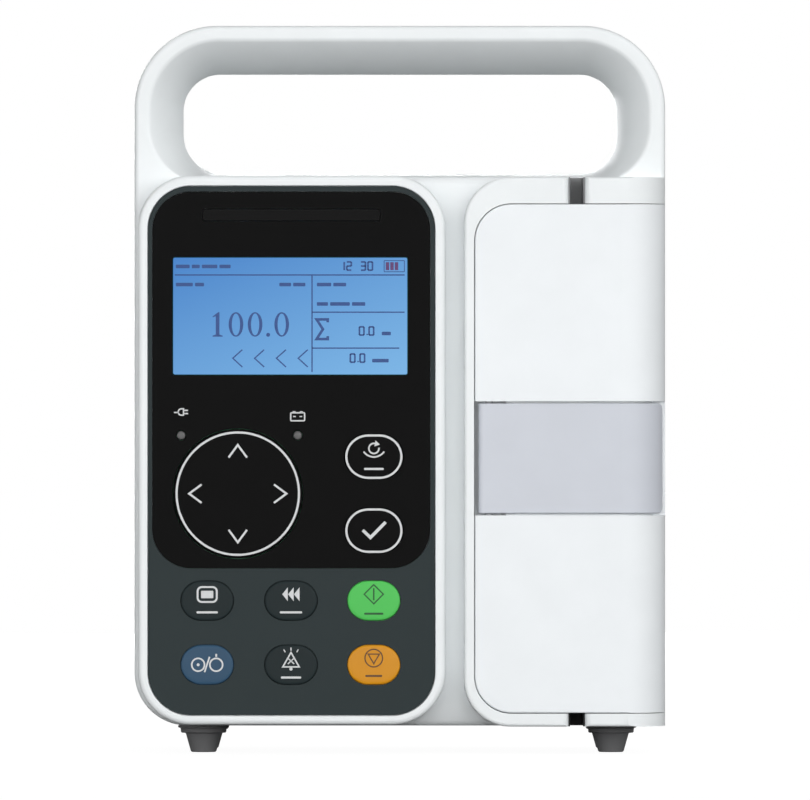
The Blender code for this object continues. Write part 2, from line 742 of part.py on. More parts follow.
def make_lever(shop, door, finishes):
    """A lever that wraps round the door's hinge side, with two hooks near its pin."""
    pivot_x, pivot_depth = LEVER_PIVOT
    radius = SIDE_ROUND - LEVER_FRONT
    plan = arc(31.5, LEVER_FRONT + 2, 2, 180, 270, 4)
    plan += side_arc(radius, -90, LEVER_END_ANGLE)
    plan += side_arc(radius - 3.2, LEVER_END_ANGLE, -90)
    plan += arc(pivot_x, pivot_depth, 3.2, 0, 150, 8)
    plan.append((29.5, pivot_depth))
    lever = shop.extruded("door_lever", [plan], LEVER_BOTTOM, LEVER_TOP, "Z")
    hook = [(37, 3), (40, 3), (40, 13.5), (35.9, 13.5), (35.9, 11.8), (37, 11)]
    for index, height in enumerate(HOOK_HEIGHTS):
        shop.cut_extruded(
            lever, f"add_hook_{index + 1}", [hook], height - 2, height + 2, "Z", "UNION"
        )
    end_depth = SIDE_ROUND + radius * math.sin(math.radians(LEVER_END_ANGLE))
    curve = arc(end_depth - 5, LEVER_TOP - 5, 5, 0, 90, 5)
    for name, flip in (("cut_lever_top_corner", 1), ("cut_lever_low_corner", -1)):
        corner = curve + [(end_depth - 5, LEVER_TOP + 1), (end_depth + 1, LEVER_TOP + 1),
                          (end_depth + 1, LEVER_TOP - 5)]
        if flip < 0:
            corner = [(depth, LEVER_TOP + LEVER_BOTTOM - z) for depth, z in corner]
        shop.cut_extruded(lever, name, [corner], 92, 102, "X")
    bore = circle(*LEVER_PIVOT, 1.8, 16)
    shop.cut_extruded(lever, "cut_lever_bore", [bore], 85, 137, "Z")
    set_pivot(lever, pivot_x, pivot_depth, LEVER_BOTTOM)
    paint(lever, finishes["lever"])
    attach(lever, door)

    pin = shop.extruded("lever_pin", [circle(*LEVER_PIVOT, 1.5, 16)], 88.1, 134.4, "Z")
    set_pivot(pin, pivot_x, pivot_depth, LEVER_BOTTOM)
    paint(pin, finishes["steel"])
    attach(pin, door)


def make_hinge_pin(shop, finish):
    pin = shop.extruded("hinge_pin", [circle(HINGE_X, HINGE_DEPTH, 1.75, 16)], 12, 213.7, "Z")
    paint(pin, finish)


# Peristaltic mechanism


def finger_heights():
    first = FINGER_MIDDLE - FINGER_PITCH * (FINGER_COUNT - 1) / 2
    return [first + FINGER_PITCH * index for index in range(FINGER_COUNT)]


def make_mechanism_plate(shop, finish):
    loops = [even_box(36.8, 86.5, 18, 204.5, 4, 4)]
    loops.append(even_box(62.2, 70.8, 88, 142, 1, 2))
    loops.append(even_box(57.7, 75.3, 39.7, 58.3, 1, 2))
    loops.append(even_box(62.2, 70.8, 159.7, 168.3, 1, 2))
    loops.append(circle(TUBE_X, 72, 2.7, 16))
    plate = shop.extruded("mechanism_plate", loops, 17.3, 24.5)
    channel = rounded_box(TUBE_X - 3, TUBE_X + 3, 16, CHANNEL_FLOOR, (0, 0, 1, 1), 3)
    shop.cut_extruded(plate, "cut_tube_channel", [channel], 16, 206, "Z")
    paint(plate, finish)


def make_mechanism_frame(shop, finishes):
    """Shelf, web and upper flange in one bent piece, with the two bearings in it."""
    profile = [
        (28.3, 66), (30.8, 66), (30.8, 74), (104, 74), (104, 79.7), (62.3, 79.7), (62.3, 165),
        (30.8, 165), (30.8, 173), (28.3, 173), (28.3, 159.3), (60.3, 159.3), (60.3, 79.7), (28.3, 79.7),
    ]
    frame = shop.extruded("mechanism_frame", [profile], 48, 85, "X")
    seat = circle(TUBE_X, CAM_DEPTH, 8.3)
    shop.cut_extruded(frame, "cut_lower_seat", [seat], 73, 81, "Z")
    shop.cut_extruded(frame, "cut_upper_seat", [seat], 158, 166, "Z")
    shop.cut_extruded(frame, "cut_shaft_hole", [circle(TUBE_X, MOTOR_DEPTH, 6)], 73, 81, "Z")
    paint(frame, finishes["steel"])
    for name, low in (("lower_bearing", 74.1), ("upper_bearing", 159.5)):
        ring = [(8, low + 5.4), (8, low), (3.3, low), (3.3, low + 5.4)]
        bearing = shop.turned(name, ring, (TUBE_X, CAM_DEPTH, 0), is_ring=True)
        paint(bearing, finishes["steel"])


def make_camshaft(shop, finish):
    """A shaft with one eccentric disc for each finger, each an eighth of a turn further on."""
    steps = 12
    sections = [(circle(TUBE_X, CAM_DEPTH, 3, steps), 63)]
    sections.append((circle(TUBE_X, CAM_DEPTH, 3, steps), finger_heights()[0] - 2.5))
    for index, height in enumerate(finger_heights()):
        phase = 2 * math.pi * index / FINGER_COUNT
        x = TUBE_X + CAM_OFFSET * math.cos(phase)
        depth = CAM_DEPTH + CAM_OFFSET * math.sin(phase)
        disc = circle(x, depth, CAM_RADIUS, steps)
        sections.append((disc, height - 2.5))
        sections.append((disc, height + 2.5))
        if index < FINGER_COUNT - 1:
            hub = circle(TUBE_X, CAM_DEPTH, 4, steps)
            sections.append((hub, height + 2.5))
            sections.append((hub, height + FINGER_PITCH - 2.5))
    sections.append((circle(TUBE_X, CAM_DEPTH, 3, steps), finger_heights()[-1] + 2.5))
    sections.append((circle(TUBE_X, CAM_DEPTH, 3, steps), 168))
    shaft = shop.stacked("camshaft", sections, "Z")
    set_pivot(shaft, TUBE_X, CAM_DEPTH, FINGER_MIDDLE)
    paint(shaft, finish)


def pulley_groove(radius):
    """The belt's seat between two flanges, from the top down."""
    rim = radius + 1.8
    return [(rim, 70.7), (rim, 70), (radius, 70), (radius, 65), (rim, 65), (rim, 64.3)]


def make_drive(shop, finishes):
    ring = pulley_groove(CAM_PULLEY_RADIUS) + [(3.3, 64.3), (3.3, 70.7)]
    pulley = shop.turned("cam_pulley", ring, (TUBE_X, CAM_DEPTH, 0), is_ring=True)
    paint(pulley, finishes["steel"])

    shaft = [(0, 86), (2.5, 86), (2.5, 70.7)] + pulley_groove(MOTOR_PULLEY_RADIUS) + [(0, 64.3)]
    motor_pulley = shop.turned("motor_pulley", shaft, (TUBE_X, MOTOR_DEPTH, 0))
    paint(motor_pulley, finishes["steel"])

    outer = belt_outline(CAM_PULLEY_RADIUS + 1.5, MOTOR_PULLEY_RADIUS + 1.5)
    inner = belt_outline(CAM_PULLEY_RADIUS + GAP, MOTOR_PULLEY_RADIUS + GAP)
    belt = shop.extruded("timing_belt", [outer, inner], 65.5, 69.5, "Z")
    paint(belt, finishes["rubber"])

    motor = shop.extruded("stepper_motor", [even_box(45.5, 87.5, 63, 105, 5, 2)], 80, 122, "Z")
    bore = circle(TUBE_X, MOTOR_DEPTH, 2.8, 16)
    shop.cut_extruded(motor, "cut_motor_bore", [bore], 79, 88, "Z")
    paint(motor, finishes["motor"])


def make_fingers(shop, finish):
    rear = CAM_DEPTH - CAM_RADIUS - CAM_OFFSET - GAP
    for index, height in enumerate(finger_heights()):
        bar = even_box(TUBE_X - 3.5, TUBE_X + 3.5, height - 2.5, height + 2.5, 0.8, 2)
        finger = shop.extruded(f"finger_{index + 1}", [bar], FINGER_TIP, rear)
        set_pivot(finger, TUBE_X, FINGER_TIP, height)
        paint(finger, finish)


def make_sensors(shop, finishes):
    block = [
        (58, 17.5), (63.9, 17.5), (63.9, 21.6), (69.1, 21.6), (69.1, 17.5), (75, 17.5), (75, 27), (58, 27),
    ]
    detector = shop.extruded("air_detector", [block], 40, 58, "Z")
    paint(detector, finishes["feet"])
    sensor = shop.extruded("pressure_sensor", [circle(TUBE_X, 72, 2.4, 16)], 20.9, 27.5)
    paint(sensor, finishes["steel"])
    blade = even_box(TUBE_X - 4, TUBE_X + 4, 160, 168, 0.8, 2)
    clamp = shop.extruded("free_flow_clamp", [blade], FINGER_TIP, 27.5)
    set_pivot(clamp, TUBE_X, FINGER_TIP, 164)
    paint(clamp, finishes["blue"])


# Pole clamp


def make_clamp(shop, finishes):
    """A bracket shaped like a C from above, whose spindle presses a pad against the pole."""
    plan = [
        (-35, COVER_REAR + GAP), (39, COVER_REAR + GAP), (39, 147), (36, 150), (27, 150), (27, 117),
        (-22, 117), (-22, 122), (-29, CLAMP_DEPTH), (-22, 144), (-22, 150), (-35, 150),
    ]
    bracket = shop.extruded("clamp_bracket", [plan], CLAMP_Z - 22.5, CLAMP_Z + 22.5, "Z")
    round_edges(bracket, 1.2, 2)
    hole = circle(CLAMP_DEPTH, CLAMP_Z, SPINDLE_RADIUS + GAP)
    shop.cut_extruded(bracket, "cut_spindle_hole", [hole], 20, 45, "X")
    paint(bracket, finishes["steel"])

    length = 77.0 - 12.3
    rod = [(0, length), (4, length), (SPINDLE_RADIUS, length - 1), (SPINDLE_RADIUS, 1), (4, 0), (0, 0)]
    spindle = shop.turned("clamp_spindle", rod, (12.3, CLAMP_DEPTH, CLAMP_Z), "X", steps=16)
    paint(spindle, finishes["steel"])

    lobes = []
    for step in range(36):
        angle = 2 * math.pi * step / 36
        reach = 15.3 + 1.2 * math.cos(6 * angle)
        lobes.append((CLAMP_DEPTH + reach * math.cos(angle), CLAMP_Z + reach * math.sin(angle)))
    bore = circle(CLAMP_DEPTH, CLAMP_Z, SPINDLE_RADIUS + GAP, 16)
    knob = shop.extruded("clamp_knob", [lobes, bore], 60, 78, "X")
    round_edges(knob, 1.2, 2)
    set_pivot(knob, 60, CLAMP_DEPTH, CLAMP_Z)
    paint(knob, finishes["feet"])

    disc = [(0, 5), (9, 5), (10, 4), (10, 0), (0, 0)]
    pad = shop.turned("clamp_pad", disc, (7, CLAMP_DEPTH, CLAMP_Z), "X")
    paint(pad, finishes["rubber"])


def make_finishes():
    return {
        "shell": material("shell_white", (0.86, 0.88, 0.90), 0.35),
        "slate": material("slate_panel", (0.035, 0.045, 0.05), 0.5),
        "black": material("black_window", (0.006, 0.006, 0.007), 0.15),
        "lcd": material("lcd_blue", (0.12, 0.32, 0.66), 0.25),
        "smoke": material("alarm_smoke", (0.02, 0.02, 0.022), 0.2),
        "lens": material("led_lens", (0.12, 0.12, 0.12), 0.3),
        "green": material("key_green", (0.09, 0.56, 0.10), 0.4),
        "orange": material("key_orange", (0.72, 0.31, 0.02), 0.4),
        "blue": material("key_blue", (0.045, 0.09, 0.16), 0.4),
        "lever": material("lever_grey", (0.60, 0.62, 0.66), 0.4),
        "feet": material("dark_plastic", (0.045, 0.045, 0.045), 0.6),
        "rubber": material("rubber_black", (0.02, 0.02, 0.02), 0.8),
        "steel": material("bright_metal", (0.62, 0.63, 0.65), 0.3, 1.0),
        "board": material("circuit_green", (0.02, 0.16, 0.07), 0.5),
        "battery": material("battery_wrap", (0.02, 0.07, 0.20), 0.45),
        "motor": material("motor_black", (0.03, 0.03, 0.035), 0.4, 0.6),
    }


def main():
    clear_scene()
    shop = Workshop(new_collection("infusion_pump"), new_collection("cutters"))
    finishes = make_finishes()

    make_main_frame(shop, finishes["shell"])
    make_rear_cover(shop, finishes["shell"])
    make_feet(shop, finishes["feet"])
    make_electronics(shop, finishes)
    make_inlet(shop, finishes["feet"])

    make_control_bezel(shop, finishes["shell"])
    make_panels(shop, finishes)
    make_display(shop, finishes)
    make_keys(shop, finishes)
    make_pad(shop, finishes)

    make_pump_bezel(shop, finishes["shell"])
    make_mechanism_plate(shop, finishes["lever"])
    make_mechanism_frame(shop, finishes)
    make_camshaft(shop, finishes["steel"])
    make_drive(shop, finishes)
    make_fingers(shop, finishes["lever"])
    make_sensors(shop, finishes)

    make_hinge_pin(shop, finishes["steel"])
    door = make_door_shell(shop, finishes["shell"])
    make_door_lining(shop, door, finishes)
    make_lever(shop, door, finishes)
    make_clamp(shop, finishes)


main()
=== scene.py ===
"""Looks for the infusion pump: its finished surfaces, printed marks, lights and camera.

Sizes are in millimetres, and the helpers turn them into metres. +Z is up, the front faces -Y, and
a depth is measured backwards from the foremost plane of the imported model. Each piece rides on a
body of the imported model. Words on the real keys and display are left out: icons, short bars and
numbers stand for them. A box is its left, right, low and high side.
"""
import math
from functools import reduce

import bmesh
import bpy
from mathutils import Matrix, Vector


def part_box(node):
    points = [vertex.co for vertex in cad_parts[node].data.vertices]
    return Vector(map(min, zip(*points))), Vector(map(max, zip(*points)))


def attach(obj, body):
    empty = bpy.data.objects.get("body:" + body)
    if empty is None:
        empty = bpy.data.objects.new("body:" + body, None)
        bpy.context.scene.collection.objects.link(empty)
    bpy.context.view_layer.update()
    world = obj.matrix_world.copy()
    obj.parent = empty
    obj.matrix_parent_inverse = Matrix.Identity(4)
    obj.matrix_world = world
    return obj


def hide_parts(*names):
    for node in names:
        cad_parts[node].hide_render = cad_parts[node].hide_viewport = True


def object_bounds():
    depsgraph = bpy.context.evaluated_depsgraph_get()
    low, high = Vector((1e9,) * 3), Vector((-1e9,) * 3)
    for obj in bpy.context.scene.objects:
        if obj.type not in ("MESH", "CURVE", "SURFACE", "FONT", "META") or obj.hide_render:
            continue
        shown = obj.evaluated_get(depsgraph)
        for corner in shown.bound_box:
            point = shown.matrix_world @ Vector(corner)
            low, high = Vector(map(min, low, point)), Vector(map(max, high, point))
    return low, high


MM = 0.001

# Housing
HALF_WIDTH = 100.0
HOUSING = (-100.0, 100.0, 10.5, 274.2)
HOUSING_RADII = (20, 8, 31, 31)
FRAME_FRONT = 14.0
FRAME_REAR = 50.0
BODY_TOP = 218.8
OPENING_SIDE = 82.0
OPENING_TOP = 256.5
OPENING_FLARE = 13.4
REAR_FLARE = 2.2
ROLL_OFF = 0.14
FIRST_SLOPE = 50
LAST_SLOPE = 79
GROOVE_FRONT = 9.5
COVER_REAR = 110.0
COVER_WALL = 2.5
GAP = 0.3
BATTERY_SEAM = 0.5
SEAM = 0.05

# Control module
BEZEL = (-98.5, 17.1, 11.1, 217.6)
BEZEL_RADIUS = 20.0
PANEL = (-94.9, 13.45, 14.45, 213.9)
WINDOW = (-93.1, 11.5, 69.9, 211.6)
DISPLAY = (-85.5, 3.1, 142.5, 187.0)
ALARM_SLOT = (-74.2, -7.3, 200.4, 205.1)
WINDOW_RADII = (14.8, 14.8, 14.5, 14.5)
PANEL_RADIUS = 16.5
PANEL_FRONT = 0.9
PANEL_BACK = 2.7
LEDGE = 3.0
KEY_CLEARANCE = 0.4
UPPER_KEY_SIZE = (22.0, 16.9)
LOWER_KEY_SIZE = (19.8, 14.8)
PAD_RADIUS = 24.2
PAD_FACE = 0.62
DISPLAY_FACE = 1.3

# Pump module
PUMP_LEFT = 24.2
PUMP_LOW = 10.45
PUMP_TOP = 217.0
PUMP_REAR = 28.0
PUMP_RADIUS = 17.3
TRAY_BACK = 24.8
DOOR_LEFT = 28.2
DOOR_LOW = 15.6
DOOR_TOP = 206.8
DOOR_RADIUS = 13.8
DOOR_SEAM = 0.28
DOOR_BACK = 16.5
SIDE_ROUND = 17.0
HINGE = (94.0, 18.0)
HINGE_BARREL = 6.0
LEVER_LOW = 90.6
LEVER_TOP = 131.9
LEVER_PIVOT = (33.5, 4.0)
LEVER_FRONT = 0.8
LEVER_END_ANGLE = -8
HOOK_HEIGHTS = (101.0, 121.0)
TUBE_X = 66.5
CHANNEL_FLOOR = 21.3
PLATE_SCREWS = [(x, z) for z in (24.0, 198.0) for x in (41.5, 81.5)]
PLATE_SCREW_DEPTH = 17.35

# Rear
BATTERY_DOOR = (-12.0, 54.0, 18.0, 70.0)
INLET = (-63.0, -35.0, 27.0, 49.0)
VENTS = (-82.0, -38.0, 168.0)
COVER_SCREWS = [(x, z) for z in (22.0, 203.0) for x in (-86.0, 86.0)]
CLAMP_Z = 122.5
CLAMP_DEPTH = 133.0
SPINDLE = (12.3, 77.0, 5.0)
THREAD_PITCH = 1.5

# Printed marks stand this far off the surface that carries them
INK = 0.04
RULE_LINE = 0.5

# Steps in each corner of the large outlines
FINE = 28

# The sky's levels by direction, and the share of it that mirror reflections lose
FRONT_LIGHT = 9.35
RIGHT_LIGHT = 0.52
REAR_LIGHT = 0.12
TOP_LIGHT = 0.07
GLOSS_DIMMING = 0.93
FLOOR_GLOW = 0.96

# Each lamp's place and size in metres and its power in watts
LAMPS = {"key": ((0.8, -2.2, 1.5), 1.6, 3), "rear": ((-0.3, 2.5, 0.3), 1.2, 48)}
LAMP_AIM = (0, 0, 0.13)
VIEW_CENTRE = (1.94, 7.0, 133.2)

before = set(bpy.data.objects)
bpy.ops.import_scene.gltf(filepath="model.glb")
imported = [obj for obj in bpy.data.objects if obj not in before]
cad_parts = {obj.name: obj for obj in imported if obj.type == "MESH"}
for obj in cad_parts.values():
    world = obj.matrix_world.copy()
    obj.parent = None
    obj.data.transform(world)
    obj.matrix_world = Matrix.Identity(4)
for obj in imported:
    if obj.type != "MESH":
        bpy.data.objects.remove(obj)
CAD_LOW, CAD_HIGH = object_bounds()
FRONT = CAD_LOW.y


def at(x, depth, z):
    return Vector((x * MM, FRONT + depth * MM, z * MM))


# Outlines: lists of (u, v) points in millimetres, anticlockwise


def arc(centre_u, centre_v, radius, start, end, steps=12):
    points = []
    for step in range(steps + 1):
        angle = math.radians(start + (end - start) * step / steps)
        points.append((centre_u + radius * math.cos(angle), centre_v + radius * math.sin(angle)))
    return points


def rounded_box(box, radii, inset=0.0, steps=14):
    """A left, right, low, high box; its radii run from the lower left corner anticlockwise."""
    left, right, low, high = grown(box, -inset)
    corners = ((left, low, 1, 1, 180), (right, low, -1, 1, 270), (right, high, -1, -1, 0),
               (left, high, 1, -1, 90))
    points = []
    for (u, v, inward_u, inward_v, start), radius in zip(corners, radii):
        if radius == 0:
            points.append((u, v))
            continue
        reach = max(radius - inset, 0.05)
        points.extend(arc(u + inward_u * reach, v + inward_v * reach, reach, start, start + 90, steps))
    return points


def even_box(box, radius, inset=0.0, steps=14):
    return rounded_box(box, (radius,) * 4, inset, steps)


def left_rounded(box, radius, inset=0.0):
    """A box with round corners at its left only."""
    return rounded_box(box, (radius, 0, 0, radius), inset, FINE)


def grown(box, by):
    left, right, low, high = box
    return (left - by, right + by, low - by, high + by)


def circle(centre_u, centre_v, radius, steps=48):
    return arc(centre_u, centre_v, radius, 0, 360, steps)[:-1]


def pill(centre, size, inset=0.0, steps=20):
    """A key's outline: elliptical ends and flat sides."""
    width, height = (side - 2 * inset for side in size)
    end = 0.52 * height
    points = []
    for side, start in ((1, -90), (-1, 90)):
        for u, v in arc(0, 0, 1, start, start + 180, steps):
            points.append((centre[0] + side * (width / 2 - end) + u * end, centre[1] + v * height / 2))
    return points


def side_arc(radius, start=-90, end=0, steps=24):
    """The rounded front right corner of the pump module, seen from above."""
    return arc(HALF_WIDTH - SIDE_ROUND, SIDE_ROUND, radius, start, end, steps)


def ribbon(points, width, closed=False):
    """The loops round a line of even width through some points."""
    sides = ([], [])
    count = len(points)
    spots = [Vector(point) for point in points]
    for index, spot in enumerate(spots):
        ways = []
        if closed or index > 0:
            ways.append((spot - spots[index - 1]).normalized())
        if closed or index < count - 1:
            ways.append((spots[(index + 1) % count] - spot).normalized())
        along = sum(ways, Vector((0, 0))).normalized()
        reach = width / 2 / max(along.dot(ways[0]), 0.4)
        across = Vector((-along.y, along.x)) * reach
        sides[0].append(tuple(spot + across))
        sides[1].append(tuple(spot - across))
    if closed:
        return [sides[0], sides[1]]
    return [sides[0] + sides[1][::-1]]


# Solids


def added(name, data):
    """An object in the scene that holds a mesh, a curve, a light or a camera."""
    thing = bpy.data.objects.new(name, data)
    bpy.context.scene.collection.objects.link(thing)
    return thing


def meshed(name, shape):
    mesh = bpy.data.meshes.new(name)
    shape.to_mesh(mesh)
    shape.free()
    return added(name, mesh)


def as_object(name, shape):
    """A solid with its double points merged and its faces turned outwards."""
    bmesh.ops.remove_doubles(shape, verts=shape.verts, dist=0.001 * MM)
    bmesh.ops.recalc_face_normals(shape, faces=shape.faces)
    return meshed(name, shape)


def ordered(along, u, v, t):
    """A place from an outline's point and a distance along X, Y or Z."""
    return at(*{"X": (t, u, v), "Y": (u, t, v), "Z": (u, v, t)}[along])


def extruded(name, loops, low, high, along="Y"):
    """A flat outline with its holes, made solid between two planes."""
    curve = bpy.data.curves.new(name, "CURVE")
    curve.dimensions = "2D"
    curve.fill_mode = "BOTH"
    curve.extrude = (high - low) / 2
    for loop in loops:
        spline = curve.splines.new("POLY")
        spline.points.add(len(loop) - 1)
        for point, (u, v) in zip(spline.points, loop):
            point.co = (u, v, 0, 1)
        spline.use_cyclic_u = True
    guide = added(name + "_guide", curve)
    graph = bpy.context.evaluated_depsgraph_get()
    flat = bpy.data.meshes.new_from_object(guide.evaluated_get(graph))
    bpy.data.objects.remove(guide, do_unlink=True)
    bpy.data.curves.remove(curve)
    shape = bmesh.new()
    shape.from_mesh(flat)
    bpy.data.meshes.remove(flat)
    for vert in shape.verts:
        u, v, t = vert.co
        vert.co = ordered(along, u, v, t + (low + high) / 2)
    bmesh.ops.remove_doubles(shape, verts=shape.verts, dist=0.001 * MM)
    bmesh.ops.dissolve_limit(
        shape, angle_limit=math.radians(0.1), verts=shape.verts, edges=shape.edges
    )
    return as_object(name, shape)


def skinned(name, shape, rings):
    """A closed solid through rings of points with equal counts."""
    count = len(rings[0])
    for near, far in zip(rings, rings[1:]):
        for index in range(count):
            following = (index + 1) % count
            shape.faces.new((near[index], near[following], far[following], far[index]))
    shape.faces.new(rings[0])
    shape.faces.new(rings[-1])
    return as_object(name, shape)


def stacked(name, sections, along="Y"):
    """A loft through outlines with equal point counts, each with its place along an axis."""
    shape = bmesh.new()
    rings = []
    for outline, place in sections:
        rings.append([shape.verts.new(ordered(along, u, v, place)) for u, v in outline])
    return skinned(name, shape, rings)


def quarter(radius, steps=6):
    """Inset and rise round an edge of that radius, from the flat face outwards."""
    if radius == 0:
        return [(0.0, 0.0)]
    angles = [math.radians(90 * step / steps) for step in range(steps + 1)]
    return [(radius * (1 - math.sin(a)), radius * (1 - math.cos(a))) for a in angles]


def slab(name, outline, front, rear, front_round=0.0, rear_round=0.0, along="Y"):
    """A plate whose outline is a function of its inset, with rounded front and rear edges."""
    sections = [(outline(inset), front + rise) for inset, rise in quarter(front_round)]
    sections += [(outline(inset), rear - rise) for inset, rise in reversed(quarter(rear_round))]
    return stacked(name, sections, along)


def turned(name, profile, place, along="Z", steps=48):
    """A profile of (radius, distance) turned round an axis, with its ends on the axis closed."""
    nearest = 0.01
    shape = bmesh.new()
    rings = []
    for radius, distance in profile:
        ring = []
        for step in range(steps):
            angle = 2 * math.pi * step / steps
            u = math.cos(angle) * max(radius, nearest)
            v = math.sin(angle) * max(radius, nearest)
            offset = {"X": (distance, u, v), "Y": (u, distance, v), "Z": (u, v, distance)}[along]
            ring.append(shape.verts.new(at(*[a + b for a, b in zip(place, offset)])))
        rings.append(ring)
    return skinned(name, shape, rings)


def soften(thing, width, segments=3, angle=50):
    bevel = thing.modifiers.new("soften", "BEVEL")
    bevel.width = width * MM
    bevel.segments = segments
    bevel.limit_method = "ANGLE"
    bevel.angle_limit = math.radians(angle)


def settle(thing):
    """Turn a piece's modifiers into plain mesh."""
    graph = bpy.context.evaluated_depsgraph_get()
    mesh = bpy.data.meshes.new_from_object(thing.evaluated_get(graph))
    thing.modifiers.clear()
    thing.data = mesh


def carve(thing, tools, operation="DIFFERENCE"):
    """Cut solids out of a piece, or add them to it, and use them up."""
    for tool in tools:
        boolean = thing.modifiers.new(tool.name, "BOOLEAN")
        boolean.operation = operation
        boolean.object = tool
    settle(thing)
    for tool in tools:
        bpy.data.objects.remove(tool, do_unlink=True)


def piece(thing, body, finish, replaces=(), sharp=32):
    """Finish a solid: smooth shading, its material, and the body that it rides on."""
    if thing.modifiers:
        settle(thing)
    thing.data.shade_smooth()
    thing.data.set_sharp_from_angle(angle=math.radians(sharp))
    thing.data.materials.clear()
    thing.data.materials.append(finish)
    weighted = thing.modifiers.new("even_normals", "WEIGHTED_NORMAL")
    weighted.keep_sharp = True
    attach(thing, body)
    if replaces:
        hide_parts(*replaces)
    return thing


def joined(name, parts):
    """One object from several."""
    shape = bmesh.new()
    for part in parts:
        shape.from_mesh(part.data)
        bpy.data.objects.remove(part, do_unlink=True)
    return meshed(name, shape)


def mark(name, shapes, surface, body, finish):
    """Printed shapes, each a list of loops, on a surface at some depth."""
    parts = [extruded(f"{name}_{index}", loops, surface - INK, surface + INK)
             for index, loops in enumerate(shapes)]
    return piece(joined(name, parts), body, finish)


# Materials


def linear(red, green, blue):
    """A linear colour from 8-bit display values."""
    values = []
    for value in (red, green, blue):
        share = value / 255
        values.append(share / 12.92 if share <= 0.04045 else ((share + 0.055) / 1.055) ** 2.4)
    return values


class Maths:
    """Short arithmetic on the sockets of a node tree."""

    def __init__(self, tree):
        self.tree = tree

    def do(self, operation, first, second=None):
        node = self.tree.nodes.new("ShaderNodeMath")
        node.operation = operation
        for index, value in enumerate((first, second)):
            if isinstance(value, bpy.types.NodeSocket):
                self.tree.links.new(value, node.inputs[index])
            elif value is not None:
                node.inputs[index].default_value = value
        return node.outputs["Value"]

    def product(self, *values):
        return reduce(lambda first, second: self.do("MULTIPLY", first, second), values)

    def total(self, *values):
        return reduce(lambda first, second: self.do("ADD", first, second), values)


class Finish:
    """A principled material with mould grain, faint mottling and uneven gloss."""

    def __init__(self, name, colour, roughness, metallic=0.0, shine=0.5):
        self.material = bpy.data.materials.new(name)
        self.material.use_nodes = True
        self.tree = self.material.node_tree
        self.shader = self.tree.nodes["Principled BSDF"]
        self.colour = colour
        self.roughness = roughness
        self.set("Base Color", (*colour, 1.0))
        self.set("Roughness", roughness)
        self.set("Metallic", metallic)
        self.set("Specular IOR Level", shine)
        self.places = self.tree.nodes.new("ShaderNodeTexCoord").outputs["Object"]

    def set(self, socket, value):
        self.shader.inputs[socket].default_value = value
        return self

    def link(self, source, target):
        self.tree.links.new(source, target)

    def noise(self, size, stretch=(1, 1, 1), detail=3.0):
        """Noise whose cells are about that many millimetres across."""
        mapping = self.tree.nodes.new("ShaderNodeMapping")
        mapping.inputs["Scale"].default_value = stretch
        self.link(self.places, mapping.inputs["Vector"])
        noise = self.tree.nodes.new("ShaderNodeTexNoise")
        noise.inputs["Scale"].default_value = 1 / (size * MM)
        noise.inputs["Detail"].default_value = detail
        self.link(mapping.outputs["Vector"], noise.inputs["Vector"])
        return noise.outputs["Fac"]

    def ranged(self, source, low, high, start=0.3, end=0.7):
        """A value between low and high; the source's usual range is that of noise."""
        spread = self.tree.nodes.new("ShaderNodeMapRange")
        for socket, value in zip(("From Min", "From Max", "To Min", "To Max"), (start, end, low, high)):
            spread.inputs[socket].default_value = value
        self.link(source, spread.inputs["Value"])
        return spread.outputs["Result"]

    def blended(self, first, second, share):
        """A colour between two."""
        mix = self.tree.nodes.new("ShaderNodeMix")
        mix.data_type = "RGBA"
        mix.inputs["A"].default_value = (*first, 1.0)
        mix.inputs["B"].default_value = (*second, 1.0)
        self.link(share, mix.inputs["Factor"])
        return mix.outputs["Result"]

    def mottle(self, size, amount):
        """Let the colour drift by that share of its brightness."""
        darker = [channel * (1 - amount) for channel in self.colour]
        lighter = [min(channel * (1 + amount), 1.0) for channel in self.colour]
        drift = self.ranged(self.noise(size), 0, 1)
        self.link(self.blended(darker, lighter, drift), self.shader.inputs["Base Color"])
        return self

    def uneven_gloss(self, size, amount, stretch=(1, 1, 1)):
        source = self.noise(size, stretch)
        low, high = self.roughness - amount, self.roughness + amount
        self.link(self.ranged(source, low, high), self.shader.inputs["Roughness"])
        return self

    def grain(self, size, height, stretch=(1, 1, 1)):
        """A fine surface texture of that height in millimetres."""
        bump = self.tree.nodes.new("ShaderNodeBump")
        bump.inputs["Strength"].default_value = 1.0
        bump.inputs["Distance"].default_value = height * MM
        self.link(self.noise(size, stretch, 2.0), bump.inputs["Height"])
        self.link(bump.outputs["Normal"], self.shader.inputs["Normal"])
        return self


def plastic(name, colour, roughness, grain=0.004, shine=0.5):
    finish = Finish(name, colour, roughness, shine=shine)
    return finish.mottle(18, 0.015).uneven_gloss(6, 0.03).grain(0.55, grain).material


def metal(name, colour, roughness, stretch=(1, 1, 1)):
    finish = Finish(name, colour, roughness, metallic=1.0)
    return finish.mottle(9, 0.05).uneven_gloss(2.5, 0.06, stretch).grain(0.4, 0.003, stretch).material


def ink(name, colour):
    return Finish(name, colour, 0.5).mottle(2.0, 0.04).uneven_gloss(1.0, 0.05).material


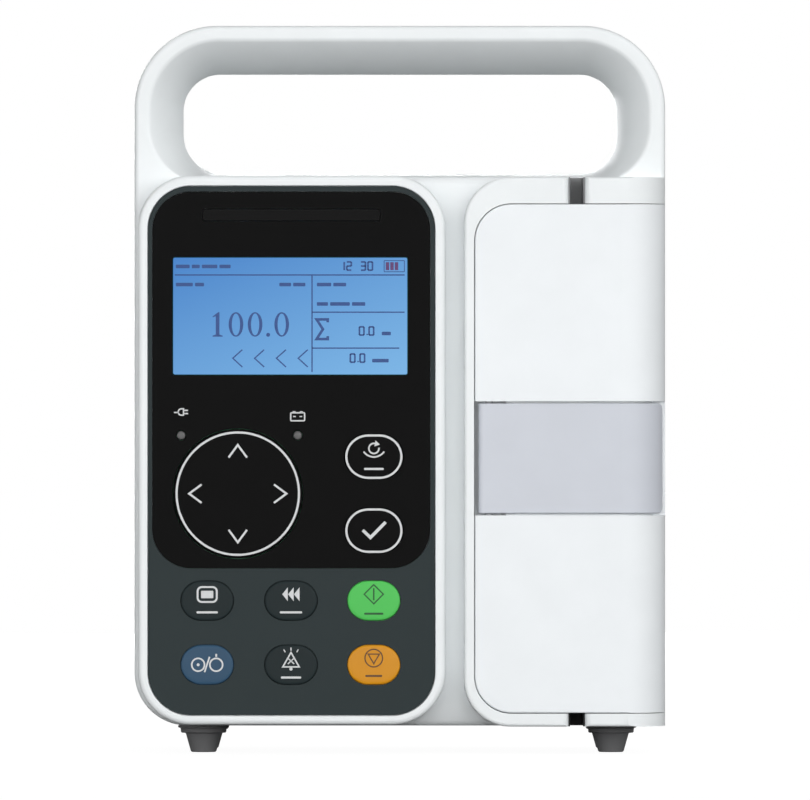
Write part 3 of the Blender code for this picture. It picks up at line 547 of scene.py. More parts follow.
def display_finish():
    """Backlit blue glass: brighter to the lower right, with a faint grain."""
    finish = Finish("display_blue", linear(20, 30, 46), 0.4, shine=0.15)
    split = finish.tree.nodes.new("ShaderNodeSeparateXYZ")
    finish.link(finish.places, split.inputs["Vector"])
    left, right, low, high = DISPLAY
    across = finish.ranged(split.outputs["X"], 0, 1, left * MM, right * MM)
    down = finish.ranged(split.outputs["Z"], 0, 1, high * MM, low * MM)
    maths = Maths(finish.tree)
    share = maths.total(maths.product(across, 0.45), maths.product(down, 0.55))
    glow = finish.blended(linear(69, 130, 200), linear(123, 181, 229), share)
    finish.link(glow, finish.shader.inputs["Emission Color"])
    finish.set("Emission Strength", 0.97)
    return finish.uneven_gloss(5, 0.04).grain(0.45, 0.002).material


def make_finishes():
    return {
        "shell": plastic("shell_white", (0.80, 0.83, 0.84), 0.42, shine=0.35),
        "door": plastic("door_white", (0.81, 0.84, 0.86), 0.40, shine=0.35),
        "slate": plastic("slate_overlay", (0.027, 0.038, 0.040), 0.55, 0.006, shine=0.15),
        "black": plastic("black_window", (0.0032, 0.0032, 0.0033), 0.4, 0.001, shine=0.12),
        "display": display_finish(),
        "smoke": plastic("smoked_bar", (0.005, 0.005, 0.0052), 0.4, 0.001, shine=0.15),
        "lens": plastic("grey_lens", linear(98, 98, 98), 0.3, 0.001),
        "green": plastic("green_key", (0.075, 0.525, 0.092), 0.5, shine=0.3),
        "orange": plastic("orange_key", (0.63, 0.26, 0.004), 0.5, shine=0.3),
        "blue": plastic("blue_key", (0.030, 0.080, 0.145), 0.5, shine=0.25),
        "key_slate": plastic("slate_key", (0.018, 0.027, 0.029), 0.5, 0.006, shine=0.15),
        "lever": plastic("lever_grey", (0.575, 0.60, 0.655), 0.42, shine=0.3),
        "dark": plastic("dark_plastic", (0.04, 0.04, 0.041), 0.5, 0.008),
        "rubber": plastic("black_rubber", (0.02, 0.02, 0.021), 0.7, 0.012, shine=0.3),
        "boot": plastic("grey_rubber", (0.13, 0.131, 0.134), 0.5, 0.008),
        # Mid grey for the insert in the tube notch above the door: painted shade, in place of the shade
        # deep inside the notch
        "guide": plastic("notch_shade_grey", (0.24, 0.245, 0.25), 0.5),
        "steel": metal("brushed_steel", (0.62, 0.63, 0.65), 0.3, (1, 1, 0.08)),
        "cast": metal("cast_metal", (0.55, 0.56, 0.58), 0.42),
        "brass": metal("blade_brass", (0.72, 0.62, 0.36), 0.3),
        "pale_ink": ink("pale_print", linear(205, 207, 208)),
        "green_ink": ink("green_key_print", linear(32, 92, 44)),
        "orange_ink": ink("orange_key_print", linear(104, 68, 22)),
        "display_ink": ink("display_segments", linear(32, 74, 140)),
        "battery_ink": ink("display_battery", linear(92, 52, 112)),
        "board": plastic("circuit_board", (0.02, 0.16, 0.07), 0.5, 0.01),
        "wrap": plastic("battery_wrap", (0.02, 0.07, 0.20), 0.35, 0.002),
        "motor": metal("motor_black", (0.05, 0.05, 0.055), 0.4),
    }


# Housing


def flare_profile(widest, steps=40):
    """Widening and depth from the handle's flat band to the waist of its opening.

    The slope rolls off the band, then steepens evenly as it nears the waist.
    """
    depth = 0.0
    points = [(widest, depth)]
    for step in range(steps):
        share = (step + 0.5) / steps
        steeper = max(share - ROLL_OFF, 0.0) / (1 - ROLL_OFF)
        angle = FIRST_SLOPE * min(share / ROLL_OFF, 1.0) + (LAST_SLOPE - FIRST_SLOPE) * steeper
        depth += widest / steps * math.tan(math.radians(angle))
        points.append((widest * (1 - (step + 1) / steps), depth))
    return points


def opening_outline(flare):
    side = OPENING_SIDE + flare
    low = BODY_TOP - 4.0 * flare / OPENING_FLARE
    low_radius = 15.0 + 0.5 * flare
    high_radius = 14.0 + flare
    box = (-side, side, low, OPENING_TOP + flare)
    return rounded_box(box, (low_radius, low_radius, high_radius, high_radius), steps=24)


def tube_slot():
    half, flare, corner = 3.1, 2.4, 1.0
    mouth = [(TUBE_X - half - flare, -1), (TUBE_X + half + flare, -1)]
    right_lip = arc(TUBE_X + half + flare, flare, flare, 270, 180, 8)
    left_lip = arc(TUBE_X - half - flare, flare, flare, 0, -90, 8)
    floor = arc(TUBE_X + half - corner, CHANNEL_FLOOR - corner, corner, 0, 90, 5)
    floor += arc(TUBE_X - half + corner, CHANNEL_FLOOR - corner, corner, 90, 180, 5)
    return mouth + right_lip + floor + left_lip


def make_housing(finishes):
    shell = slab("housing_shell", lambda inset: rounded_box(HOUSING, HOUSING_RADII, inset, FINE),
                 FRAME_FRONT, FRAME_REAR, 2.0, 4.0)
    top = BEZEL[3]
    rear = FRAME_FRONT + 2
    lower_end = [(rear - (rear - GROOVE_FRONT) * math.cos(a), 31 - 20.5 * math.sin(a))
                 for a in (math.radians(90 * step / 20) for step in range(21))]
    rib_outline = lower_end[::-1] + arc(GROOVE_FRONT + 4, top - 4, 4, 180, 90, 10) + [(rear, top)]
    rib = extruded("rib", [rib_outline], BEZEL[1] - BEZEL_RADIUS, PUMP_LEFT + PUMP_RADIUS, "X")
    beside_controls = even_box(grown(BEZEL, SEAM), BEZEL_RADIUS + SEAM, steps=FINE)
    carve(rib, [extruded("beside_controls", [beside_controls], -1, FRAME_FRONT)])
    carve(shell, [rib], "UNION")

    sections = [(opening_outline(OPENING_FLARE), FRAME_FRONT - 1)]
    sections += [(opening_outline(flare), FRAME_FRONT + depth)
                 for flare, depth in flare_profile(OPENING_FLARE)]
    sections += [(opening_outline(flare), FRAME_REAR - depth)
                 for flare, depth in reversed(flare_profile(REAR_FLARE, 12))]
    sections.append((opening_outline(REAR_FLARE), FRAME_REAR + 1))
    opening = stacked("opening", sections)

    inner = HALF_WIDTH - 3.5
    cavity_box = (-inner, inner, 14.0, BODY_TOP - 4)
    cavity = extruded("cavity", [rounded_box(cavity_box, (16, 5, 12, 12))], 17, FRAME_REAR + 1)
    window = extruded("control_window", [even_box(grown(PANEL, -4.85), 12)], 6, 18)
    recess_box = (PUMP_LEFT - SEAM, HALF_WIDTH + 2, PUMP_LOW - GAP, PUMP_TOP + SEAM)
    recess = extruded("recess", [left_rounded(recess_box, PUMP_RADIUS + SEAM)], -1, PUMP_REAR + GAP)
    notch = extruded("notch", [tube_slot()], PUMP_TOP - 1, BODY_TOP + 1, "Z")
    carve(shell, [opening, cavity, window, recess, notch])
    piece(shell, "root", finishes["shell"], ["main_frame"])


def make_rear_cover(finishes):
    radii = (17, 8, 14, 17)
    box = (-97.0, 97.0, 10.8, BODY_TOP - 3.8)
    cover = slab("rear_cover_shell", lambda inset: rounded_box(box, radii, inset, 20),
                 FRAME_REAR + GAP, COVER_REAR, 0, 6)
    hollow_radii = [radius - COVER_WALL for radius in radii]
    hollow_outline = rounded_box(grown(box, -COVER_WALL), hollow_radii)
    tools = [extruded("hollow", [hollow_outline], 49, COVER_REAR - COVER_WALL)]
    holes = {"bay": even_box(BATTERY_DOOR, 1), "socket": even_box(grown(INLET, GAP), 1)}
    left, right, low = VENTS
    for row in range(6):
        slot_box = (left, right, low + 5.0 * row, low + 5.0 * row + 2.2)
        holes[f"vent_{row}"] = even_box(slot_box, 1.09)
    for name, hole in holes.items():
        tools.append(extruded(name, [hole], COVER_REAR - 5, COVER_REAR + 1))
    for index, (x, z) in enumerate(COVER_SCREWS):
        tools.append(turned(f"seat_{index}", [(4.2, -1.2), (4.4, 1)], (x, COVER_REAR, z), "Y"))
    carve(cover, tools)
    piece(cover, "root", finishes["shell"], ["rear_cover"])
    make_screws("cover_screw", COVER_SCREWS, COVER_REAR - 1.3, 1, finishes["steel"])

    door = slab("battery_door", lambda inset: even_box(grown(BATTERY_DOOR, -BATTERY_SEAM), 2, inset),
                COVER_REAR - 2.2, COVER_REAR, 0, 0.5)
    grooves = []
    for row in range(4):
        groove = (11.0, 31.0, 60.0 - 2.6 * row, 61.2 - 2.6 * row)
        grooves.append(extruded(f"grip_{row}", [even_box(groove, 0.55)], COVER_REAR - 0.7, COVER_REAR + 1))
    carve(door, grooves)
    piece(door, "root", finishes["shell"], ["battery_cover"])


def make_screw(name, place, facing, finish, radius):
    """A pan head with a cross recess; facing is 1 towards the rear and -1 towards the front."""
    profile = [(radius, 0.0), (radius, 0.45), (radius * 0.86, 0.95), (radius * 0.5, 1.2), (0, 1.28)]
    head = turned(name, [(r, facing * h) for r, h in profile], place, "Y", 36)
    x, depth, z = place
    near, far = sorted((depth + facing * 0.5, depth + facing * 2))
    arms = [extruded(f"arm_{width}", [even_box((x - width, x + width, z - high, z + high), 0.15, steps=3)],
                     near, far) for width, high in ((0.32, 1.7), (1.7, 0.32))]
    carve(head, arms)
    piece(head, "root", finish)


def make_screws(name, places, depth, facing, finish, radius=3.0):
    for index, (x, z) in enumerate(places):
        make_screw(f"{name}_{index + 1}", (x, depth, z), facing, finish, radius)


def make_feet(finishes):
    profile = [(0, 10.2), (9.3, 10.2), (9.7, 9.9), (9.6, 9.3), (8.9, 9.1), (8.7, 8.8), (8.6, 7.6),
               (8.3, 7.3), (7.0, 7.2), (6.7, 6.9), (4.95, 0.7), (4.8, 0.3), (4.4, 0), (0, 0)]
    for name in ("foot_front_left", "foot_front_right", "foot_rear_left", "foot_rear_right"):
        low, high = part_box(name)
        middle = (low + high) / 2
        place = (middle.x / MM, (middle.y - FRONT) / MM, 0)
        piece(turned(name + "_boot", profile, place), "root", finishes["boot"], [name])


def make_inlet(finishes):
    socket = slab("mains_socket", lambda inset: even_box(grown(INLET, 4), 3, inset),
                  COVER_REAR + GAP, COVER_REAR + 2.3, 0, 0.6)
    body = extruded("body", [even_box(INLET, 1)], 92, COVER_REAR + 1)
    carve(socket, [body], "UNION")
    left, right, low, high = grown(INLET, -2)
    mouth = [(left, low), (right, low), (right, high - 4), (right - 4, high), (left + 4, high),
             (left, high - 4)]
    carve(socket, [extruded("mouth", [mouth], 94, COVER_REAR + 4)])
    piece(socket, "root", finishes["dark"], ["ac_inlet"])
    middle = (left + right) / 2
    for index, (x, z) in enumerate(((middle - 7, 36), (middle, 40), (middle + 7, 36))):
        blade = slab(f"socket_blade_{index + 1}",
                     lambda inset: even_box((x - 1, x + 1, z - 2, z + 2), 0.3, inset), 93, 107, 0, 0.4)
        piece(blade, "root", finishes["brass"])


# Control module


def node_centre(name):
    """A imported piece's centre in the plane of the front, in millimetres."""
    low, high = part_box(name)
    middle = (low + high) / 2
    return (middle.x / MM, middle.z / MM)


def make_control_module(finishes):
    bezel = slab("control_rim", lambda inset: even_box(BEZEL, BEZEL_RADIUS, inset, FINE),
                 0, FRAME_FRONT - SEAM, 2.0, 0)
    recess = extruded("recess", [even_box(PANEL, PANEL_RADIUS, steps=FINE)], -1, LEDGE)
    hole = extruded("hole", [even_box(grown(PANEL, -3.9), 13)], LEDGE - 1, FRAME_FRONT + 1)
    carve(bezel, [recess, hole])
    piece(bezel, "root", finishes["shell"], ["control_bezel"])

    loops = [even_box(grown(PANEL, -GAP), PANEL_RADIUS - GAP, steps=FINE),
             rounded_box(WINDOW, WINDOW_RADII, steps=FINE)]
    loops += [pill(node_centre(name), LOWER_KEY_SIZE, -0.22) for name in LOWER_KEYS]
    panel = extruded("keypad_overlay", loops, PANEL_FRONT, PANEL_BACK)
    piece(panel, "root", finishes["slate"], ["keypad_panel"])

    inner_radii = [radius - 0.1 for radius in WINDOW_RADII]
    loops = [rounded_box(grown(WINDOW, -0.1), inner_radii, steps=FINE), even_box(DISPLAY, 0.8, steps=6)]
    loops += [pill(node_centre(name), UPPER_KEY_SIZE, -KEY_CLEARANCE) for name in UPPER_KEYS]
    loops.append(circle(*node_centre("dpad_rocker"), PAD_RADIUS + KEY_CLEARANCE, 96))
    loops.append(even_box(ALARM_SLOT, 1, steps=6))
    loops += [circle(*node_centre(name), 1.9) for name in LEDS]
    window = extruded("window_overlay", loops, PANEL_FRONT - 0.1, PANEL_BACK - 0.1)
    piece(window, "root", finishes["black"], ["display_window"])

    strip = slab("alarm_bar", lambda inset: even_box(grown(ALARM_SLOT, -0.15), 0.8, inset, 6),
                 0.85, 6, 0.2, 0)
    piece(strip, "root", finishes["smoke"], ["alarm_light"])
    for name in LEDS:
        x, z = node_centre(name)
        dome = [(0, 0.72), (0.7, 0.76), (1.2, 0.88), (1.5, 1.1), (1.6, 1.4), (1.6, 5.5), (0, 5.5)]
        lens = turned(name + "_lens", dome, (x, 0, z), "Y", 32)
        piece(lens, "root", finishes["lens"], [name])


def solid_cap(name, outline, front, crown):
    """A key cap: a soft edge, a slightly domed face and a flange behind."""
    sections = [(outline(inset), front + rise) for inset, rise in
                ((4.0, 0.0), (2.4, 0.3 * crown), (1.2, crown), (0.6, crown + 0.1), (0.25, crown + 0.25),
                 (0.06, crown + 0.45), (0.0, crown + 0.75))]
    sections.append((outline(0), LEDGE))
    sections += [(outline(-1.5), LEDGE), (outline(-1.5), LEDGE + 1)]
    return stacked(name, sections)


def shifted(shapes, x, z):
    return [[[(u + x, v + z) for u, v in loop] for loop in loops] for loops in shapes]


def make_keys(finishes):
    for names, size, front in ((UPPER_KEYS, UPPER_KEY_SIZE, 0.6), (LOWER_KEYS, LOWER_KEY_SIZE, 0.4)):
        for name in names:
            finish, slot, print_finish, icon = KEY_LOOKS[name]
            centre = node_centre(name)
            cap = solid_cap(name + "_cap", lambda inset: pill(centre, size, inset), front, 0.08)
            piece(cap, name, finishes[finish], [name])
            mark(name + "_print", shifted(icon(), *centre), front, name, finishes[print_finish])


def make_pad(finishes):
    x, z = node_centre("dpad_rocker")
    dish = [(0, PAD_FACE), (12, 0.64), (21, PAD_FACE), (23.2, PAD_FACE), (23.9, 0.72),
            (PAD_RADIUS, 1.0), (PAD_RADIUS, 3.0), (3, 3.0), (3, 5.6), (0, 5.6)]
    pad = turned("round_pad", dish, (x, 0, z), "Y", 96)
    piece(pad, "pad", finishes["black"], ["dpad_rocker"])
    shapes = [ribbon(circle(x, z, 23.0, 96), 0.8, closed=True)]
    for turn in range(4):
        angle = math.radians(90 * turn)
        arrow = []
        for along, across in ((13.6, -3.45), (18.3, 0.0), (13.6, 3.45)):
            arrow.append((x + along * math.cos(angle) - across * math.sin(angle),
                          z + along * math.sin(angle) + across * math.cos(angle)))
        shapes.append(ribbon(arrow, 0.75))
    mark("round_pad_print", shapes, PAD_FACE, "pad", finishes["pale_ink"])


# Key legends, drawn about the middle of the key in millimetres


def bar(width, height=-4.4, thickness=0.8):
    """A short bar in place of a word."""
    box = (-width / 2, width / 2, height - thickness / 2, height + thickness / 2)
    return [even_box(box, thickness / 2.2, steps=5)]


def ring(u, v, radius, line):
    return ribbon(circle(u, v, radius), line, closed=True)


def framed_key(shapes):
    """The upper keys carry a printed outline."""
    return [ribbon(pill((0, 0), (20.7, 15.9), steps=24), 0.8, closed=True)] + shapes


def return_arrow(u, v, radius, line):
    """An open ring that ends in an arrowhead."""
    start, reach, half = 78, 1.9, 1.15
    across = Vector((math.cos(math.radians(start)), math.sin(math.radians(start))))
    ahead = Vector((across.y, -across.x))
    end = Vector((u, v)) + across * radius
    head = [tuple(end - across * half), tuple(end + ahead * reach), tuple(end + across * half)]
    return [ribbon(arc(u, v, radius, start, start + 290, 24), line), [head]]


def clear_icon():
    return framed_key(return_arrow(0, 3.1, 1.9, 0.6) + [
        ribbon(arc(0, 4.6, 4.7, 215, 325, 20), 0.6),
        bar(7.4, -4.6),
    ])


def confirm_icon():
    return framed_key([ribbon([(-4.2, 0.2), (-1.3, -2.6), (4.4, 3.2)], 1.15)])


def menu_icon():
    return [ribbon(even_box((-3.6, 3.6, -0.5, 5.1), 1.6, steps=8), 0.7, closed=True),
            [even_box((-2.3, 2.3, 0.9, 3.7), 0.3, steps=4)], bar(8.0)]


def bolus_icon():
    shapes = []
    for index in range(3):
        left = -3.3 + 2.2 * index
        shapes.append([[(left, 2.4), (left + 2.1, -0.2), (left + 2.1, 5.0)]])
    return shapes + [bar(8.4)]


def start_icon():
    return [ribbon([(-3.6, 2.4), (0, -1.2), (3.6, 2.4), (0, 6.0)], 0.5, closed=True),
            ribbon([(0, 0.1), (0, 4.7)], 0.55), bar(7.2, -4.9)]


def power_icon():
    return [ring(-3.4, 0, 2.4, 0.6), [circle(-3.4, 0, 0.55, 20)], ribbon([(-1.0, -2.8), (0.9, 3.0)], 0.6),
            ring(3.4, 0, 2.4, 0.6), ribbon([(3.4, 3.0), (3.4, 4.1)], 0.7)]


def mute_icon():
    bell = ribbon([(-3.1, -0.8), (0, 4.6), (3.1, -0.8)], 0.55, closed=True)
    shapes = [bell, ribbon([(-1.2, 0.3), (1.2, 2.5)], 0.45), ribbon([(-1.2, 2.5), (1.2, 0.3)], 0.45),
              [circle(0, -1.6, 0.6, 20)]]
    for angle in (60, 90, 120):
        ray = math.radians(angle)
        ends = [(reach * math.cos(ray), 1.0 + reach * math.sin(ray)) for reach in (4.3, 5.5)]
        shapes.append(ribbon(ends, 0.42))
    return shapes + [bar(7.6, -4.8)]


def stop_icon():
    return [ring(0, 2.5, 3.3, 0.5), ribbon([(-2.1, 4.0), (0, 0.4), (2.1, 4.0)], 0.5, closed=True),
            bar(6.4, -4.2)]


UPPER_KEYS = ("clear_key", "ok_key")
LOWER_KEYS = ("menu_key", "bolus_key", "start_key", "power_key", "mute_key", "stop_key")
LEDS = ("mains_led", "battery_led")

# For each key: its finish, its material slot, the finish of its print, and its icon
KEY_LOOKS = {
    "clear_key": ("black", "black", "pale_ink", clear_icon),
    "ok_key": ("black", "black", "pale_ink", confirm_icon),
    "menu_key": ("key_slate", "slate", "pale_ink", menu_icon),
    "bolus_key": ("key_slate", "slate", "pale_ink", bolus_icon),
    "start_key": ("green", "green", "green_ink", start_icon),
    "power_key": ("blue", "blue", "pale_ink", power_icon),
    "mute_key": ("key_slate", "slate", "pale_ink", mute_icon),
    "stop_key": ("orange", "orange", "orange_ink", stop_icon),
}


# Display


SEGMENTS = {"0": "abcdef", "1": "bc", "2": "abdeg", "3": "abcdg"}


def small_number(text, left, low, height=3.1, line=0.65):
    """Numbers in plain segments; a dot takes a narrow place and a space a full one."""
    shapes = []
    width = 0.55 * height
    u = left
    for character in text:
        if character == ".":
            shapes.append([circle(u + 0.25, low + 0.25, 0.3, 12)])
            u += 1.0
            continue
        middle, top = low + height / 2, low + height
        ends = {"a": ((u, top), (u + width, top)), "b": ((u + width, top), (u + width, middle)),
                "c": ((u + width, middle), (u + width, low)), "d": ((u, low), (u + width, low)),
                "e": ((u, low), (u, middle)), "f": ((u, middle), (u, top)),
                "g": ((u, middle), (u + width, middle))}
        shapes += [ribbon(ends[segment], line) for segment in SEGMENTS.get(character, "")]
        u += width + 0.95
    return shapes


def dashes(left, middle, widths, thickness=1.35):
    """Short bars in place of words."""
    shapes = []
    for width in widths:
        box = (left, left + width, middle - thickness / 2, middle + thickness / 2)
        shapes.append([even_box(box, 0.3, steps=4)])
        left += width + 0.8
    return shapes


def large_number(left, low, height=9.2):
    """The rate in book numerals: a one, two noughts, a dot and a nought."""
    shapes = []
    half = height / 2

    def nought(u):
        sizes = ((2.75, half), (1.55, half - 0.5))
        return [[(u + width * x, low + half + rise * z) for x, z in circle(0, 0, 1)]
                for width, rise in sizes]

    top = low + height
    one = [(left + 1.2, low), (left + 5.0, low), (left + 5.0, low + 0.4), (left + 3.8, low + 0.8),
           (left + 3.8, top), (left + 3.3, top), (left + 1.3, top - 1.5), (left + 1.3, top - 1.9),
           (left + 2.4, top - 1.5), (left + 2.4, low + 0.8), (left + 1.2, low + 0.4)]
    shapes.append([one])
    shapes += [nought(left + 10.0), nought(left + 17.2)]
    shapes.append([circle(left + 22.1, low + 0.7, 0.75, 24)])
    shapes.append(nought(left + 27.2))
    return shapes


def make_display(finishes):
    glass_box = grown(DISPLAY, -GAP)
    glass = slab("display_glass", lambda inset: even_box(glass_box, 0.7, inset, 6),
                 DISPLAY_FACE, 9.0, 0.25, 0)
    piece(glass, "root", finishes["display"], ["lcd_module"])

    left, right, low, high = glass_box
    split = -33.0
    rules = (((left + 0.6, 180.2), (right - 1, 180.2)), ((split, 180.0), (split, low + 0.9)),
             ((split, 166.2), (right - 1, 166.2)), ((split, 152.7), (right - 3, 152.7)))
    shapes = [ribbon(rule, RULE_LINE) for rule in rules]
    words = ((left + 1.0, 183.4, (5.2, 3.0, 5.8, 4.2)), (left + 1.0, 176.6, (6.4, 3.4)),
             (-45.3, 176.6, (4.4, 4.6)), (-31.2, 176.6, (5.4, 4.8)), (-31.2, 169.3, (4.2, 7.4, 5.0)),
             (-6.8, 158.2, (3.4,)), (-10.4, 148.0, (6.2,)))
    for word in words:
        shapes += dashes(*word)
    for number in (("12 30", -22.6, 182.0), ("0.0", -15.2, 157.6), ("0.0", -18.6, 147.4)):
        shapes += small_number(*number)
    shapes += large_number(-71.6, 157.0)
    for index in range(4):
        apex = -62.8 + 8.2 * index
        shapes.append(ribbon([(apex + 3.6, 152.1), (apex, 148.9), (apex + 3.6, 145.6)], RULE_LINE))
    shapes.append(ribbon([(-27.1, 162.4), (-27.1, 163.5), (-31.3, 163.5), (-28.9, 159.8), (-31.3, 156.1),
                          (-27.1, 156.1), (-27.1, 157.2)], 1.0))
    shapes.append(ribbon(even_box((-5.9, 1.7, 181.4, 185.6), 0.2, steps=2), 0.3, closed=True))
    mark("display_marks", shapes, DISPLAY_FACE, "root", finishes["display_ink"])
    cells = []
    for index in range(3):
        start = -5.3 + 1.7 * index
        cells.append([even_box((start, start + 1.3, 182.0, 185.0), 0.1, steps=2)])
    mark("display_charge", cells, DISPLAY_FACE - 0.01, "root", finishes["battery_ink"])


def make_panel_prints(finishes):
    """The mains and battery signs above their indicator lamps."""
    x, z = node_centre("mains_led")
    z += 8.8
    plug = [ribbon([(x - 2.7, z - 0.2), (x - 0.9, z - 0.2)], 0.5),
            ribbon(arc(x + 0.1, z, 1.2, 100, 260, 12) + [(x + 0.9, z - 1.2), (x + 0.9, z + 1.2)],
                   0.5, closed=True),
            ribbon([(x + 0.9, z + 0.6), (x + 2.6, z + 0.6)], 0.5),
            ribbon([(x + 0.9, z - 0.6), (x + 2.6, z - 0.6)], 0.5)]
    mark("mains_sign", plug, PANEL_FRONT - 0.1, "root", finishes["pale_ink"])
    x, z = node_centre("battery_led")
    z += 7.1
    cell = [ribbon(even_box((x - 2.6, x + 2.6, z - 1.6, z + 1.4), 0.3, steps=3), 0.5, closed=True),
            [even_box((x - 1.9, x - 0.8, z + 1.5, z + 2.0), 0.1, steps=2)],
            [even_box((x + 0.8, x + 1.9, z + 1.5, z + 2.0), 0.1, steps=2)],
            ribbon([(x - 1.7, z), (x - 0.7, z)], 0.4), ribbon([(x + 0.7, z), (x + 1.7, z)], 0.4)]
    mark("battery_sign", cell, PANEL_FRONT - 0.1, "root", finishes["pale_ink"])


# Pump module


def make_pump_bezel(finishes):
    box = (PUMP_LEFT, HALF_WIDTH + 1, PUMP_LOW, PUMP_TOP)
    bezel = slab("pump_rim", lambda inset: left_rounded(box, PUMP_RADIUS, inset), 0, PUMP_REAR, 1.4, 0)
    plan = [(20, -1), (HALF_WIDTH - SIDE_ROUND, -1)] + side_arc(SIDE_ROUND) + [(HALF_WIDTH, 30), (20, 30)]
    carve(bezel, [extruded("plan", [plan], 0, 230, "Z")], "INTERSECT")
    tray_box = (DOOR_LEFT - DOOR_SEAM, HALF_WIDTH + 2, DOOR_LOW - DOOR_SEAM, DOOR_TOP + DOOR_SEAM)
    tray = extruded("tray", [left_rounded(tray_box, DOOR_RADIUS + DOOR_SEAM)], -1, TRAY_BACK)
    carve(bezel, [tray])
    strikers = []
    for index, middle in enumerate(HOOK_HEIGHTS):
        striker = [(34.2, 11), (35.4, 11), (35.4, 26), (34.2, 26)]
        strikers.append(extruded(f"striker_{index}", [striker], middle - 3, middle + 3, "Z"))
    carve(bezel, strikers, "UNION")
    tools = [extruded("slot", [even_box((TUBE_X - 9.5, TUBE_X + 9.5, 36, 174), 2)], 23, 30),
             extruded("tube", [tube_slot()], 8, 219, "Z"),
             extruded("bore", [circle(*HINGE, 2.05, 24)], 11.7, 214, "Z")]
    carve(bezel, tools)
    piece(bezel, "root", finishes["shell"], ["pump_bezel"])
    # Dark inserts in the tube notch: painted shade in place of the shade deep inside it, grey above the
    # door and black below it
    make_notch_shade_insert("notch_shade_above", DOOR_TOP + DOOR_SEAM, PUMP_TOP, finishes["guide"])
    make_notch_shade_insert("notch_shade_below", PUMP_LOW, DOOR_LOW - DOOR_SEAM, finishes["rubber"])


def make_notch_shade_insert(name, low, high, finish):
    """A dark insert in the notch that holds the tube, above or below the door: painted shade, in place of
    the shade deep inside the notch.
    """
    outer, inner, front = 3.08, 2.5, 3.4
    floor = CHANNEL_FLOOR - 0.02
    plan = [(TUBE_X + outer, front), (TUBE_X + outer, floor - 1)]
    plan += arc(TUBE_X + outer - 1, floor - 1, 1, 0, 90, 5)
    plan += arc(TUBE_X - outer + 1, floor - 1, 1, 90, 180, 5)
    plan += [(TUBE_X - outer, front), (TUBE_X - inner, front)]
    plan += arc(TUBE_X - inner + 1, floor - 1.6, 1, 180, 90, 5)
    plan += arc(TUBE_X + inner - 1, floor - 1.6, 1, 90, 0, 5)
    plan += [(TUBE_X + inner, front)]
    guide = extruded(name, [plan], low, high, "Z")
    piece(guide, "root", finish)


def make_door(finishes):
    box = (DOOR_LEFT, HALF_WIDTH + 1, DOOR_LOW, DOOR_TOP)
    door = slab("door_panel", lambda inset: left_rounded(box, DOOR_RADIUS, inset), 0, 30, 0.7, 0)
    plan = [(20, -1), (HALF_WIDTH - SIDE_ROUND, -1)] + side_arc(SIDE_ROUND)
    plan += arc(*HINGE, HINGE_BARREL, 0, 180, 24) + [(HINGE[0] - HINGE_BARREL, DOOR_BACK), (20, DOOR_BACK)]
    carve(door, [extruded("plan", [plan], 0, 230, "Z")], "INTERSECT")
    right = HINGE[0] - 7.7
    upper = rounded_box((31, right, 134.7, 204), (2, 2, 2, 11))
    lower = rounded_box((31, right, 18.4, 87.8), (11, 2, 2, 2))
    middle = rounded_box((30.8, right + 0.2, 18.2, 204.2), (11.2, 2, 2, 11.2))
    pocket = [(20, -2), (102, -2), (102, 15.3)] + side_arc(12.4, LEVER_END_ANGLE, -90)
    pocket += [(40, 4.6), (38, 8.3), (20, 8.3)]
    tools = [extruded("upper", [upper], 2.5, 18), extruded("lower", [lower], 2.5, 18),
             extruded("middle", [middle], 10.3, 18.5),
             extruded("pocket", [pocket], LEVER_LOW - 0.8, LEVER_TOP + 0.8, "Z")]
    for index, height in enumerate(HOOK_HEIGHTS):
        hook_hole = even_box((35, 46, height - 2.8, height + 2.8), 0.5)
        tools.append(extruded(f"hook_{index}", [hook_hole], 3, 11))
    tools.append(extruded("pin", [circle(*LEVER_PIVOT, 1.8, 24)], 87, 135.5, "Z"))
    tools.append(extruded("hinge", [circle(*HINGE, 2.1, 24)], 10, 215, "Z"))
    carve(door, tools)
    piece(door, "door", finishes["door"], ["door_shell"])


def make_lever(finishes):
    radius = SIDE_ROUND - LEVER_FRONT
    plan = arc(31.5, LEVER_FRONT + 2, 2, 180, 270, 8) + side_arc(radius, -90, LEVER_END_ANGLE)
    plan += side_arc(radius - 3.2, LEVER_END_ANGLE, -90)
    plan += arc(*LEVER_PIVOT, 3.2, 0, 150, 16) + [(29.5, LEVER_PIVOT[1])]
    lever = extruded("door_handle", [plan], LEVER_LOW, LEVER_TOP, "Z")
    soften(lever, 0.5)
    settle(lever)
    hook = [(37, 3), (40, 3), (40, 13.5), (35.9, 13.5), (35.9, 11.8), (37, 11)]
    hooks = [extruded(f"hook_{index}", [hook], height - 2, height + 2, "Z")
             for index, height in enumerate(HOOK_HEIGHTS)]
    carve(lever, hooks, "UNION")
    end = SIDE_ROUND + radius * math.sin(math.radians(LEVER_END_ANGLE))
    corners = []
    for index, flip in enumerate((False, True)):
        corner = arc(end - 5, LEVER_TOP - 5, 5, 0, 90, 10)
        corner += [(end - 5, LEVER_TOP + 1), (end + 1, LEVER_TOP + 1), (end + 1, LEVER_TOP - 5)]
        if flip:
            corner = [(depth, LEVER_TOP + LEVER_LOW - z) for depth, z in corner]
        corners.append(extruded(f"corner_{index}", [corner], 92, 102, "X"))
    corners.append(extruded("bore", [circle(*LEVER_PIVOT, 1.8, 24)], 85, 137, "Z"))
    carve(lever, corners)
    piece(lever, "lever", finishes["lever"], ["door_lever"])


def make_mechanism_details(finishes):
    make_screws("plate_screw", PLATE_SCREWS, PLATE_SCREW_DEPTH, -1, finishes["steel"], 2.4)


# Pole clamp


